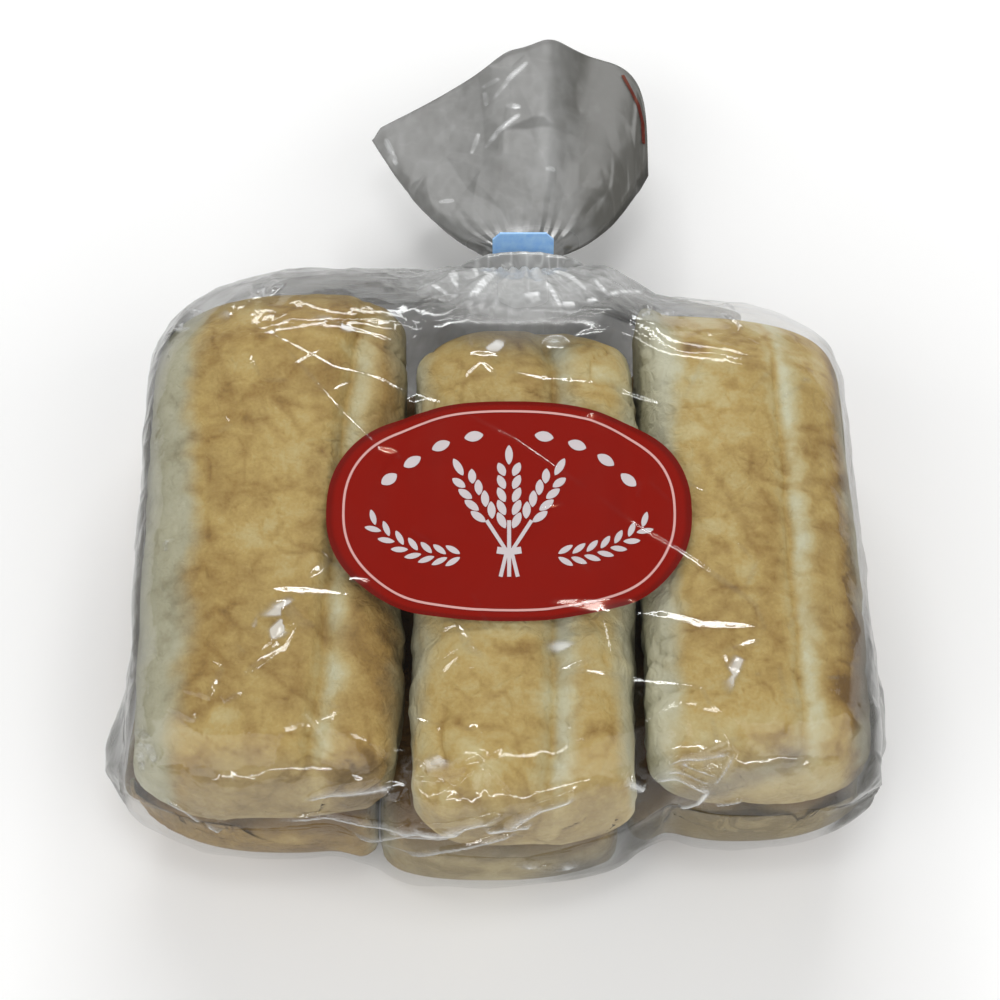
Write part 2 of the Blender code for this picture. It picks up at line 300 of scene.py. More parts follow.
def addPanel(name, direction, along, distance, sizeX, sizeY, radiance):
    # an area light that faces the bag, its x side along the given direction; radiance is power over pi times area
    data = bpy.data.lights.new(name, "AREA")
    data.shape = "RECTANGLE"
    data.size, data.size_y = sizeX, sizeY
    data.energy = radiance * math.pi * sizeX * sizeY
    light = bpy.data.objects.new(name, data)
    back = Vector(direction).normalized()
    side = (Vector(along) - back * back.dot(Vector(along))).normalized()
    turned = Matrix((side, back.cross(side), back)).transposed()
    light.matrix_world = Matrix.Translation(lightAim + back * distance) @ turned.to_4x4()
    bpy.context.scene.collection.objects.link(light)


for name, (direction, distance, sizeX, sizeY, radiance) in lightSettings.items():
    addPanel(name, direction, (1.0, 0.0, 0.0), distance, sizeX, sizeY, radiance)
toCamera = (camera.location - lightAim).normalized()
mirrored = Vector((-toCamera.x, -toCamera.y, toCamera.z))
outwards = (Vector((0.0, 1.0, 0.0)) - mirrored * mirrored.y).normalized()
sideways = outwards.cross(mirrored)
spread = math.radians(panelSettings["away"])
for turn in panelSettings["turns"]:
    ring = outwards * math.cos(math.radians(turn)) + sideways * math.sin(math.radians(turn))
    direction = mirrored * math.cos(spread) + ring * math.sin(spread)
    addPanel("panel at %d degrees" % turn, direction, mirrored.cross(ring), panelSettings["distance"],
             panelSettings["length"], panelSettings["width"], panelSettings["radiance"])
roomLight = (0.20, 0.20, 0.205, 1.0)
world = bpy.data.worlds.new("studio")
world.use_nodes = True
world.node_tree.nodes["Background"].inputs["Color"].default_value = roomLight
bpy.context.scene.world = world


def pressedPaper():
    # matt white background paper: no gloss, no visible grain
    material, _, shader = newMaterial("matt white background paper")
    shader.inputs["Base Color"].default_value = linearColour("#fbfbfa")
    shader.inputs["Roughness"].default_value = 0.9
    shader.inputs["Specular IOR Level"].default_value = 0.1
    return material


# half the floor's side and its height, just under the bag, in metres
floorForm = {"half": 4, "height": -0.0004}
floorCorners = [(x * floorForm["half"], y * floorForm["half"], floorForm["height"])
                for x, y in ((-1, -1), (1, -1), (1, 1), (-1, 1))]
floorMesh = bpy.data.meshes.new("floor")
floorMesh.from_pydata(floorCorners, [], [(0, 1, 2, 3)])
floorMesh.materials.append(pressedPaper())
floor = bpy.data.objects.new("floor", floorMesh)
bpy.context.scene.collection.objects.link(floor)
print("camera, lights and floor are set")


# materials

def polypropyleneFilm():
    # cast polypropylene film, 30 micrometres, heat sealed: clear where it lies on bread, grey and mirror-bright
    # where it stands free, with fine crinkles a few millimetres long
    material, tree, shader = newMaterial("cast polypropylene film")
    place = addNode(tree, "ShaderNodeTexCoord").outputs["Object"]
    haze, graze, tone, matt = [addNode(tree, "ShaderNodeAttribute", attribute_name=name).outputs["Fac"]
                               for name in ("haze", "graze", "tone", "matt")]
    facing = addNode(tree, "ShaderNodeLayerWeight", {"Blend": 0.25}).outputs["Facing"]
    # free-standing film at the sides is clear from straight ahead and grey at a glancing angle
    haze = addNode(tree, "ShaderNodeMath", {}, {0: facing, 1: graze, 2: haze}, operation="MULTIPLY_ADD").outputs[0]
    opaque = addNode(tree, "ShaderNodeMath", {1: 0.17}, {0: facing, 2: haze}, operation="MULTIPLY_ADD",
                     use_clamp=True)
    # the finest crinkles, 3 mm apart
    fine = addNode(tree, "ShaderNodeTexNoise", {"Scale": 330.0, "Detail": 1.0}, {"Vector": place})
    bump = addNode(tree, "ShaderNodeBump", {"Strength": 0.3, "Distance": 0.0003}, {"Height": fine.outputs["Fac"]})
    # clear film only mirrors, hazy film also scatters grey
    scatter = addNode(tree, "ShaderNodeMapRange", {"From Min": 0.12, "From Max": 0.5}, {"Value": haze})
    scatter = scatter.outputs["Result"]
    metal = addNode(tree, "ShaderNodeMapRange", {"To Min": 0.96, "To Max": 0.04}, {"Value": scatter})
    # the hazy film's grey follows the tone attribute, which carries painted shade, painted light and painted
    # highlights besides the film's own grey
    cloudy = addNode(tree, "ShaderNodeMix", {"A": linearColour("#51504a"), "B": linearColour("#f2f4f4")},
                     {"Factor": tone}, data_type="RGBA")
    grey = addNode(tree, "ShaderNodeMix", {"A": linearColour("#c4c6c6")},
                   {"Factor": scatter, "B": cloudy.outputs["Result"]}, data_type="RGBA")
    # the finely crumpled sheet of the fan has no clear mirror image
    rough = addNode(tree, "ShaderNodeMapRange", {"To Min": 0.08, "To Max": 0.13}, {"Value": scatter})
    dull = addNode(tree, "ShaderNodeMath", {1: 0.30}, {0: matt, 2: rough.outputs["Result"]},
                   operation="MULTIPLY_ADD")
    tree.links.new(grey.outputs["Result"], shader.inputs["Base Color"])
    tree.links.new(metal.outputs["Result"], shader.inputs["Metallic"])
    tree.links.new(dull.outputs[0], shader.inputs["Roughness"])
    tree.links.new(opaque.outputs[0], shader.inputs["Alpha"])
    tree.links.new(bump.outputs["Normal"], shader.inputs["Normal"])
    shader.inputs["IOR"].default_value = 1.49
    shader.inputs["Specular IOR Level"].default_value = 0.9
    return material


def bakedCrust():
    # baked wheat crust, dusty and dull: pale straw, tan where it browned, greyish green-white on the flanks
    # that touched the next roll in the oven; pores under a millimetre
    material, tree, shader = newMaterial("baked wheat crust")
    place = addNode(tree, "ShaderNodeTexCoord").outputs["Object"]
    # the darkness attribute holds the browning and painted shade
    browningAndShade, flank = [addNode(tree, "ShaderNodeAttribute", attribute_name=name).outputs["Fac"]
                   for name in ("browningAndShade", "flank")]
    level = browningAndShade
    # blotches 16 mm across, mottles 5 mm across and grain of 1 mm, each with its range and its strength
    for noise, low, strength in (({"Scale": 62.0, "Detail": 3.0, "Roughness": 0.5, "Distortion": 0.9}, 0.25, 0.09),
                                 ({"Scale": 210.0, "Detail": 2.0, "Distortion": 0.6}, 0.3, 0.06),
                                 ({"Scale": 900.0, "Detail": 3.0}, 0.25, 0.06)):
        pattern = addNode(tree, "ShaderNodeTexNoise", noise, {"Vector": place})
        shift = addNode(tree, "ShaderNodeMapRange",
                        {"From Min": low, "From Max": 1.0 - low, "To Min": -strength, "To Max": strength},
                        {"Value": pattern.outputs["Fac"]})
        level = addNode(tree, "ShaderNodeMath", {}, {0: level, 1: shift.outputs["Result"]}).outputs[0]
    crustRamp = addNode(tree, "ShaderNodeValToRGB", {}, {"Fac": level})
    rampStops(crustRamp, [(0.0, "#d1cda9"), (0.25, "#c8b884"), (0.5, "#ba9f5f"), (0.75, "#9c7d42"),
                          (1.0, "#73562a")])
    flankRamp = addNode(tree, "ShaderNodeValToRGB", {}, {"Fac": level})
    rampStops(flankRamp, [(0.0, "#cac8ae"), (0.5, "#b0ac90"), (1.0, "#7f7758")])
    mixed = addNode(tree, "ShaderNodeMix", {},
                    {"Factor": flank, "A": crustRamp.outputs["Color"], "B": flankRamp.outputs["Color"]},
                    data_type="RGBA")
    tree.links.new(mixed.outputs["Result"], shader.inputs["Base Color"])
    crinkle = addNode(tree, "ShaderNodeTexNoise", {"Scale": 210.0, "Detail": 2.0, "Distortion": 1.2},
                      {"Vector": place})
    soft = addNode(tree, "ShaderNodeBump", {"Strength": 0.6, "Distance": 0.0016}, {"Height": crinkle.outputs["Fac"]})
    # pores of 1.5 mm: the real ones are finer, and wouldn't show
    pores = addNode(tree, "ShaderNodeTexNoise", {"Scale": 650.0, "Detail": 4.0, "Roughness": 0.6}, {"Vector": place})
    fine = addNode(tree, "ShaderNodeBump", {"Strength": 0.7, "Distance": 0.0004},
                   {"Height": pores.outputs["Fac"], "Normal": soft.outputs["Normal"]})
    tree.links.new(fine.outputs["Normal"], shader.inputs["Normal"])
    shader.inputs["Roughness"].default_value = 0.62
    shader.inputs["IOR"].default_value = 1.45
    shader.inputs["Specular IOR Level"].default_value = 0.35
    return material


def printedInk(name, light, dark, roughness):
    # flexographic ink on the inner face of the film: satin, its strength a little uneven over 8 mm
    material, tree, shader = newMaterial(name)
    place = addNode(tree, "ShaderNodeTexCoord").outputs["Object"]
    cloud = addNode(tree, "ShaderNodeTexNoise", {"Scale": 120.0, "Detail": 4.0}, {"Vector": place})
    shade = addNode(tree, "ShaderNodeAttribute", attribute_name="rim").outputs["Fac"]
    sway = addNode(tree, "ShaderNodeMapRange", {"From Min": 0.3, "From Max": 0.7, "To Min": -0.12, "To Max": 0.12},
                   {"Value": cloud.outputs["Fac"]})
    level = addNode(tree, "ShaderNodeMath", {}, {0: shade, 1: sway.outputs["Result"]})
    ramp = addNode(tree, "ShaderNodeValToRGB", {}, {"Fac": level.outputs[0]})
    rampStops(ramp, [(0.0, light), (1.0, dark)])
    tree.links.new(ramp.outputs["Color"], shader.inputs["Base Color"])
    shader.inputs["Roughness"].default_value = roughness
    shader.inputs["Specular IOR Level"].default_value = 0.6
    shader.inputs["Specular Tint"].default_value = linearColour("#ffb48c")
    return material


def mouldedClip():
    # punched polystyrene sheet: light blue, satin, faintly cloudy over 2 to 3 mm
    material, tree, shader = newMaterial("punched polystyrene sheet")
    place = addNode(tree, "ShaderNodeTexCoord").outputs["Object"]
    cloud = addNode(tree, "ShaderNodeTexNoise", {"Scale": 400.0, "Detail": 3.0}, {"Vector": place})
    ramp = addNode(tree, "ShaderNodeValToRGB", {}, {"Fac": cloud.outputs["Fac"]})
    rampStops(ramp, [(0.3, "#8fc2fb"), (0.7, "#a9d5ff")])
    tree.links.new(ramp.outputs["Color"], shader.inputs["Base Color"])
    bump = addNode(tree, "ShaderNodeBump", {"Strength": 0.3, "Distance": 0.0002}, {"Height": cloud.outputs["Fac"]})
    tree.links.new(bump.outputs["Normal"], shader.inputs["Normal"])
    shader.inputs["Roughness"].default_value = 0.38
    shader.inputs["IOR"].default_value = 1.59
    return material


filmFinish = polypropyleneFilm()
crustFinish = bakedCrust()

# the film's base surface

def rightTaper(y):
    # how far the right side is drawn in towards the back
    return bagForm["rightTaper"] * smoothStep(y, *bagForm["taperY"])


def frontLine(x):
    # y of the front at each x: soft minimum of three rounded roll ends
    form = bagForm
    ends = [front + form["cornerSetback"] * (np.abs(x - centre) / half) ** form["cornerPower"]
            for centre, front, half in zip(form["columnX"], form["columnFrontY"], form["columnHalfWidth"])]
    softness = form["cornerSoftness"]
    return -softness * np.log(sum(np.exp(-end / softness) for end in ends))


def backLine(x):
    # y of the ridge behind the rolls: two level stretches with a step, set back at the corners
    form = bagForm
    step = smoothStep(x, form["backStepX"] - form["backStepHalf"], form["backStepX"] + form["backStepHalf"])
    straight = form["backLeftY"] + (form["backRightY"] - form["backLeftY"]) * step
    corner = (np.abs(x) / form["rightSideX"]) ** form["backCornerPower"]
    return straight - form["backSetback"] * corner * (1.0 - 0.4 * step)


def earReach(y, reach, start, full, hold):
    # how far a corner of empty film stands out at each y
    closing = smoothStep(-y, -hold, bagForm["earClosing"] - hold)
    return reach * smoothStep(-y, -start, -full) * (1.0 - bagForm["earClosed"] * closing)


def earsOpen(y, z, isLeft):
    # how far the left or the right ear stands out at each y, fading away from its own height
    form = bagForm
    flat = bell(z, form["widestZ"] - form["earDrop"], form["earThickness"])
    return flat * np.where(isLeft, earReach(y, *form["leftEar"]), earReach(y, *form["rightEar"]))


def bodySection(angle, yOfX, closedSize, widthShare, heightShare):
    # one section of the bag at each row: a superellipse that goes from closedSize at share 0 to full at share 1,
    # flattened by the floor, dipping between the rolls, with the ears of empty film added at the sides
    form = bagForm
    across, up = unitSection(angle, form["sectionPower"])
    closedCentre, closedWidth, closedHeight = closedSize
    centre = closedCentre + (bodyMiddle - closedCentre) * widthShare
    x = centre + across * (closedWidth + (bodyHalf - closedWidth) * widthShare)
    y = yOfX(x)
    reach = np.where(up > 0.0, form["topZ"] - form["widestZ"], form["underReach"])
    z = form["widestZ"] + up * (closedHeight + (reach - closedHeight) * heightShare)
    z = np.maximum(z, 0.0)
    opened = smoothStep(heightShare, *form["dipsOpen"])
    over = smoothStep(up, *form["dipsUp"]) * opened
    under = smoothStep(-up, *form["dipsUp"]) * opened
    for dip in form["topDipX"]:
        z = z - form["topDipDepth"] * over * bell(x, dip, form["topDipWidth"])
    for dip in form["underDipX"]:
        z = z + form["underDipDepth"] * under * bell(x, dip, form["underDipWidth"])
    ear = earsOpen(y, z, across < 0.0) * np.abs(across) ** form["earPower"]
    x = x - rightTaper(y) * np.maximum(across, 0.0)
    x = x + np.where(across < 0.0, -ear, ear)
    return np.stack(np.broadcast_arrays(x, y, z), axis=-1)


def bodySurface(angle, frontShares, middleShares, backShares):
    # the whole body: front shares 1..0 from the seam, middle shares 0..1, back shares 0..1 to the ridge
    form = bagForm
    seam = (bodyMiddle, bodyHalf, 0.0)
    shoulder = (neckForm["x"] + 0.002, form["shoulderHalfWidth"], form["ridgeHalfHeight"])
    angle = angle[None, :]
    t = frontShares[:, None]
    front = bodySection(angle, lambda x: frontLine(x) + form["frontDepth"] * (1.0 - t), seam, 1.0,
                        fallOff(t, form["frontPower"]))
    front[..., 1] += form["frontWaist"] * t * bell(front[..., 2], form["widestZ"], form["waistHeight"])
    s = middleShares[:, None]
    middle = bodySection(angle, lambda x: ((frontLine(x) + form["frontDepth"]) * (1.0 - s)
                                           + (backLine(x) - form["backDepth"]) * s), shoulder, 1.0, 1.0)
    t = backShares[:, None]
    back = bodySection(angle, lambda x: backLine(x) - form["backDepth"] * (1.0 - t), shoulder,
                       fallOff(t, form["backPlanPower"]), fallOff(t, form["backSlopePower"]))
    return np.concatenate([front, middle, back], axis=0)


filmGrid = {
    "topColumns": 452, "underColumns": 120, "seamAngle": 0.16,  # the top half reaches this far below the widest line
    "frontRows": 92, "middleRows": 236, "backRows": 84,
    "halfWidth": 0.126, "halfHeight": 0.055, "samples": 3000,  # of the section that the columns are spaced along
}


def filmAngles():
    # columns of the film: close together over the top, wider down the sides and underneath
    seam, count = filmGrid["seamAngle"], filmGrid["samples"]
    found = []
    for start, end, columns, side in ((-seam, math.pi + seam, "topColumns", 0.55),
                                      (math.pi + seam, 2 * math.pi - seam, "underColumns", 1.0)):
        angle = np.linspace(start, end, count)
        across, up = unitSection(angle, bagForm["sectionPower"])
        density = side + (1.0 - side) * smoothStep(up, 0.80, 0.97)
        share = spacedBy(across * filmGrid["halfWidth"], up * filmGrid["halfHeight"], density, filmGrid[columns])
        found.append(start + share * (end - start))
    return found


def filmShares():
    # rows of the film: even along the line over the middle of the bag, closer together near the top
    form, share = bagForm, np.linspace(0.0, 1.0, filmGrid["samples"])
    height = (form["topZ"] - form["widestZ"]) * fallOff(share, form["frontPower"])
    density = 0.5 + 0.5 * smoothStep(height, 0.02, 0.05)
    front = spacedBy(height, form["frontDepth"] * share, density, filmGrid["frontRows"] + 1)[::-1][:-1]
    middle = np.linspace(0.0, 1.0, filmGrid["middleRows"] + 1)[:-1]
    inwards, backwards = bodyHalf * fallOff(share, form["backPlanPower"]), form["backDepth"] * share
    back = spacedBy(inwards * 0.5, backwards * 1.6, np.ones(filmGrid["samples"]), filmGrid["backRows"])
    return front, middle, back


# the film's relief

def facetRelief(across, along, size, seed):
    # flat triangles between scattered points with random heights -1..1: the straight-edged crumple of stiff film
    rng = np.random.default_rng(seed)
    columns = np.arange(across[0] - size, across[-1] + 2 * size, size)
    rows = np.arange(along[0] - size, along[-1] + 2 * size, size)
    spots = np.stack(np.meshgrid(columns, rows), axis=-1).reshape(-1, 2)
    spots = spots + rng.uniform(-0.48, 0.48, spots.shape) * size
    heights = rng.uniform(-1.0, 1.0, len(spots))
    found = geometry.delaunay_2d_cdt([Vector(spot) for spot in spots], [], [], 0, 1e-7)
    order = np.array([ids[0] for ids in found[3]])
    places, heights = spots[order], heights[order]
    relief = np.zeros((len(along), len(across)))
    for corners in found[2]:
        # the corners' weights at every grid point of the triangle's box; the height changes where all are positive
        a, b, c = places[list(corners)]
        low, high = np.minimum(np.minimum(a, b), c), np.maximum(np.maximum(a, b), c)
        c0, c1 = np.searchsorted(across, (low[0], high[0]))
        r0, r1 = np.searchsorted(along, (low[1], high[1]))
        if c0 == c1 or r0 == r1:
            continue
        u, v = np.meshgrid(across[c0:c1], along[r0:r1])
        area = (b[0] - a[0]) * (c[1] - a[1]) - (c[0] - a[0]) * (b[1] - a[1])
        second = ((u - a[0]) * (c[1] - a[1]) - (c[0] - a[0]) * (v - a[1])) / area
        third = ((b[0] - a[0]) * (v - a[1]) - (u - a[0]) * (b[1] - a[1])) / area
        first = 1.0 - second - third
        inside = (first >= -1e-9) & (second >= -1e-9) & (third >= -1e-9)
        value = first * heights[corners[0]] + second * heights[corners[1]] + third * heights[corners[2]]
        relief[r0:r1, c0:c1] = np.where(inside, value, relief[r0:r1, c0:c1])
    return relief


def zigzag(turns):
    # straight folds, up and down once in every 2 turns, -0.5..0.5
    return np.abs(turns % 2.0 - 1.0) - 0.5


# a slope of about 12 degrees faces the panels, and a thin facet turns by "spread" round it; the film climbs back
# over "climb"; "steepest" is the most that the film's own slope counts for; lengths in metres
creaseForm = {"slope": 0.225, "spread": 0.13, "climb": 0.008, "steepest": 0.6, "narrowest": 0.10,
              "beyondEnd": 0.003, "tautReach": 0.0025, "softEdge": 0.0008, "scattered": 34}


def creaseFacet(flat, normals, line, width, side):
    # a narrow facet along a line in plan: across it the film drops at the slope that shines, whatever the slope of
    # the film round it, and climbs back over a longer way; side 1 faces the back, side -1 the front.
    # It narrows to both ends. Returns the height, a mark of 1 on the facet itself, and how taut the film round it is
    form = creaseForm
    line, width = np.asarray(line) * mm, width * mm
    reach = form["climb"] + 2.5 * width
    near = np.all((flat > line.min(axis=0) - reach) & (flat < line.max(axis=0) + reach), axis=-1)
    height, mark, taut = np.zeros((3,) + flat.shape[:2])
    spots = flat[near]
    if len(spots) == 0:
        return height, mark, taut
    distance, place = lineDistance(spots, line)
    length = lengthAlong(line)
    length /= length[-1]
    onLine = [np.stack([np.interp(np.clip(place + step, 0, 1), length, line[:, k]) for k in range(2)], axis=-1)
              for step in (-0.03, 0.0, 0.03)]
    forward = onLine[2] - onLine[0]
    across = np.stack([-forward[:, 1], forward[:, 0]], axis=-1) / np.linalg.norm(forward, axis=1, keepdims=True)
    flip = np.where(np.abs(across[:, 1]) > 0.15, np.sign(across[:, 1]), np.sign(across[:, 0]))
    across = across * (flip * side)[:, None]
    signed = np.sum((spots - onLine[1]) * across, axis=-1)
    around = normals[near]
    risen = -np.sum(around[:, :2] * across, axis=-1) / np.maximum(around[:, 2], 0.3)
    risen = np.clip(risen, -form["steepest"], form["steepest"])
    beyond = np.sqrt(np.maximum(distance**2 - signed**2, 0.0))
    ends = window(place, (0.0, 0.10), (0.90, 1.0)) * (1.0 - smoothStep(beyond, 0.0, form["beyondEnd"]))
    # over the facet the slope runs from slope - spread to slope + spread, so that a thin one always shines somewhere
    local = width * np.maximum((1.0 - np.abs(2.0 * place - 1.0) ** 2) ** 0.9, form["narrowest"])
    u = np.clip(signed / local, -0.5, 0.5)
    spread = form["spread"] * (1.0 - smoothStep(width / mm, 1.6, 4.0))
    fall = local * ((form["slope"] + risen) * (0.5 - u) + spread * (0.25 - u * u))
    climb = np.clip((reach + signed) / (reach - local / 2), 0.0, 1.0)
    height[near] = fall * climb * ends
    mark[near] = ends * (1.0 - smoothStep(np.abs(signed), local * 0.45, local * 0.45 + form["softEdge"]))
    taut[near] = ends * bell(np.maximum(np.abs(signed) - local / 2, 0.0), 0.0, form["tautReach"])
    return height, mark, taut


def creasedSheet(flat, normals, creases, strength):
    # all the facets of one sheet: their heights summed, and the strongest mark and tautness at each place
    height, mark, taut = np.zeros((3,) + flat.shape[:2])
    for crease in creases:
        lifts, marks, tautens = creaseFacet(flat, normals, *crease)
        height += lifts * strength
        mark = np.maximum(mark, marks * strength)
        taut = np.maximum(taut, tautens * strength)
    return height, mark, taut


def scatteredCreases(count, seed):
    # short thin creases all over the top, at seeded places: straight lines 4 to 15 mm long
    rng = np.random.default_rng(seed)
    found = []
    for _ in range(count):
        middle, turn, half = rng.uniform((-112, -88), (114, 98)), rng.normal(0.3, 0.9), rng.uniform(2.0, 7.5)
        step = half * np.array([math.cos(turn), math.sin(turn)])
        found.append(([tuple(middle - step), tuple(middle + step)], rng.uniform(0.8, 1.2), rng.choice((-1, 1))))
    return found


def foldRidge(flat, line, width):
    # a rounded ridge along a line, 1.1 widths high: its top catches the light on film that stands steep
    line, width = np.asarray(line) * mm, width * mm
    distance, place = lineDistance(flat, line)
    ends = window(place, (0.0, 0.15), (0.85, 1.0))
    return 1.1 * width * bell(distance, 0.0, 0.8 * width) * ends, bell(distance, 0.0, 0.45 * width) * ends


# creases that the photograph shows, in millimetres
topCreases = [  # over the top and the shoulders: x and y of the line, facet width, side
    ([(-90, 80), (-56, 59), (-41, 55), (-14, 43)], 1.1, 1),
    ([(-14, 43), (5, 32), (30, 13)], 1.0, 1),
    ([(30, 13), (83, -26), (86, -34), (83, -40)], 1.8, 1),
    ([(-74, 68), (-52, 41), (-36, 25)], 1.2, 1),
    ([(-60, 77), (-50, 73), (-35, 69)], 1.8, 1),
    ([(-33, 74), (-31, 66)], 1.6, 1),
    ([(-27, 74), (-31, 70)], 1.6, -1),
    ([(-87, 95), (-83, 95), (-82, 90)], 2.0, 1),
    ([(-80, 92), (-75, 98)], 1.6, -1),
    ([(-111, 87), (-112, 82), (-107, 80)], 1.8, 1),
    ([(-32, 48), (-25, 47)], 2.4, 1),
    ([(-42, 29), (-35, 28), (-33, 25)], 1.8, 1),
    ([(-63, -18), (-55, -11)], 3.0, -1),
    ([(-76, -21), (-47, -24)], 3.0, 1),
    ([(-50, -18), (-42, -19)], 2.4, 1),
    ([(-11, 64), (0, 63)], 2.6, 1),
    ([(-7, 61), (-1, 55)], 2.4, 1),
    ([(1, 54), (4, 57), (16, 54), (34, 53)], 1.4, 1),
    ([(36, 53), (55, 45)], 1.8, 1),
    ([(14, 68), (24, 68)], 6.0, 1),
    ([(24, 70), (41, 76)], 2.6, 1),
    ([(62, 47), (70, 64)], 1.0, -1),
    ([(76, 63), (87, 65)], 1.4, 1),
    ([(-76, -26), (-70, -27), (-65, -33), (-59, -35)], 4.0, 1),
    ([(-70, -41), (-83, -51)], 2.6, -1),
    ([(-89, -46), (-94, -59)], 1.8, -1),
    ([(-82, -56), (-89, -60)], 1.6, -1),
    ([(-97, -63), (-99, -66)], 1.4, -1),
    ([(-118, -64), (-113, -69)], 1.6, 1),
    ([(-116, -68), (-116, -77)], 1.8, 1),
    ([(-115, -69), (-111, -76)], 1.6, -1),
    ([(-38, -87), (-29, -86)], 4.0, 1),
    ([(-31, -82), (-24, -80)], 2.0, 1),
    ([(-28, -84), (-16, -86)], 1.4, 1),
    ([(-14, -33), (-10, -42), (-5, -46)], 3.2, 1),
    ([(-11, -70), (-7, -68)], 2.4, 1),
    ([(-7, -78), (-5, -82), (-4, -81)], 2.0, 1),
    ([(15, -26), (32, -28), (46, -25)], 5.0, 1),
    ([(42, -29), (53, -30), (65, -34), (87, -34)], 3.2, 1),
    ([(18, -52), (26, -50), (68, -56)], 2.2, 1),
    ([(71, -44), (85, -38)], 2.0, 1),
    ([(90, -47), (92, -58)], 1.4, 1),
    ([(91, -59), (97, -59)], 1.4, 1),
    ([(47, -82), (78, -71)], 1.4, -1),
    ([(64, -81), (74, -74), (70, -80)], 1.4, -1),
    ([(-1, 109), (-9, 88)], 1.2, -1),
    ([(-17, 111), (-15, 99)], 1.3, 1),
    ([(-11, 124), (-8, 104)], 1.3, 1),
    ([(-18, 107), (-15, 95)], 1.2, 1),
    ([(-11, 87), (-6, 98), (0, 111)], 1.4, 1),
    ([(-6, 110), (-3, 101)], 1.0, 1),
    ([(18, 111), (27, 101)], 1.2, 1),
    ([(22, 108), (30, 93)], 1.0, 1),
    ([(16, 99), (21, 83)], 1.2, 1),
    ([(-24, 98), (-18, 90)], 1.0, 1),
    ([(33, 101), (38, 90)], 1.0, 1),
    ([(8, 90), (14, 91)], 1.4, 1),
    ([(21, 85), (26, 85)], 1.4, 1),
    ([(30, 87), (34, 88)], 1.4, 1),
    ([(36, 90), (51, 102)], 1.4, 1),
    ([(48, 81), (51, 84), (52, 87)], 1.6, 1),
    ([(55, 84), (62, 88)], 1.2, 1),
]
frontCreases = [  # over the front: x and z of the line, facet width, side
    ([(-110, 75), (-103, 71), (-98, 64)], 1.4, -1),
    ([(-96, 64), (-93, 50)], 1.8, -1),
    ([(-49, 64), (-32, 78), (-12, 84)], 1.6, -1),
    ([(-38, 77), (-26, 84), (-10, 86)], 1.6, -1),
    ([(-33, 64), (-26, 67), (-19, 73), (7, 84)], 1.8, -1),
    ([(49, 89), (65, 82), (69, 84)], 1.4, -1),
    ([(40, 94), (46, 88)], 2.6, 1),
    ([(25, 95), (13, 93), (1, 87)], 1.6, -1),
    ([(-6, 86), (11, 88)], 2.4, -1),
    ([(-75, 72), (-48, 79), (-22, 84), (4, 92)], 1.8, -1),
    ([(3, 44), (29, 37)], 1.6, -1),
    ([(59, 62), (65, 74), (68, 84)], 1.6, -1),
    ([(70, 74), (79, 79)], 1.4, -1),
    ([(-64, 84), (-45, 93), (-32, 97)], 1.6, -1),
    ([(53, 89), (69, 85)], 0.8, -1),
    ([(53, 91), (64, 94), (74, 97)], 0.9, -1),
    ([(75, 97), (73, 93), (69, 85)], 0.8, -1),
    ([(58, 91), (70, 89)], 0.7, -1),
]
fanCreases = [  # over the fan: x and y of the line, facet width, side
    ([(-7, 209), (0, 212)], 1.6, 1),
    ([(-6, 207), (-5, 200)], 1.2, -1),
    ([(-3, 202), (4, 212), (11, 220)], 1.1, 1),
    ([(2, 199), (8, 198)], 1.6, 1),
    ([(-6, 180), (0, 188), (8, 195)], 1.4, 1),
    ([(-11, 178), (-8, 188)], 1.1, -1),
    ([(17, 169), (21, 169)], 1.2, 1),
    ([(-44, 188), (-39, 174)], 1.1, -1),
    ([(-23, 156), (-17, 157)], 1.1, 1),
]
# painted highlights: white patches for broad glints, where the film is also crumpled finely: x, y, half length, half
# width, turn in degrees, strength
paintedGlintPatches = [
    (-47, 73, 15, 2.6, -20, 0.60), (-67, -29, 14, 5, 25, 0.50), (-76, -38, 8, 4, 30, 0.35),
    (-3, 67, 7, 3, -10, 0.40), (78, -49, 9, 5, 60, 0.45), (62, -78, 9, 5, 30, 0.18),
    (-90, 84, 9, 4, 10, 0.30), (20, -42, 6, 3, 0, 0.35), (-20, -80, 7, 3, 15, 0.30),
]
# a fold of doubled film over the right end of the front: x and z, half width
frontFold = {"line": [(48, 34), (62, 74), (76, 88), (95, 93)], "width": 4.0, "haze": 0.30}

# the badge's place on the film, in millimetres: centre and half size of its oval, how deep it and its motif lie
# under the film, the size of the outline, and the cells of its grids
badgeSettings = {"centre": (3.0, 6.5), "half": (60.5, 39.5), "ovalPower": 2.35, "under": 0.40, "motifUnder": 0.22,
                 "outlineSize": 0.905, "outlineWidth": 0.8, "outlineSteps": 240,
                 "rings": 60, "turns": 220, "leafRings": 4, "leafTurns": 22}

print("building the film")
topAngles, underAngles = filmAngles()
frontShares, middleShares, backShares = filmShares()
topColumns = len(topAngles)
filmBase = bodySurface(np.concatenate([topAngles, underAngles[1:]]), frontShares, middleShares, backShares)
filmOut = gridNormals(filmBase)
filmOut[0] = filmOut[1]
rowCount, columnCount = filmBase.shape[:2]
acrossMm = lengthAlong(filmBase[rowCount // 2]) / mm
alongMm = lengthAlong(filmBase[:, topColumns // 2]) / mm

px, py, pz = filmBase[..., 0], filmBase[..., 1], filmBase[..., 2]
frontGap = py - frontLine(px)
backGap = backLine(px) - py
# 1 where the film lies tight on a roll's top, 0 where it stands free
tight = (smoothStep(pz, 0.080, 0.094) * smoothStep(frontGap, 0.004, 0.016) * smoothStep(backGap, 0.026, 0.046)
         * window(px, (-0.120, -0.104), (0.104, 0.120)))
slack = 1.0 - tight
# round the neck: millimetres from it, the turn round it, and 1 at it
neckX, neckY = neckForm["x"], neckForm["y"]
neckAway = np.hypot(px - neckX, py - neckY) / mm
neckTurn = np.arctan2(px - neckX, neckY - py)
nearNeck = bell(neckAway, 0.0, 42.0) * smoothStep(py, 0.05, 0.085)
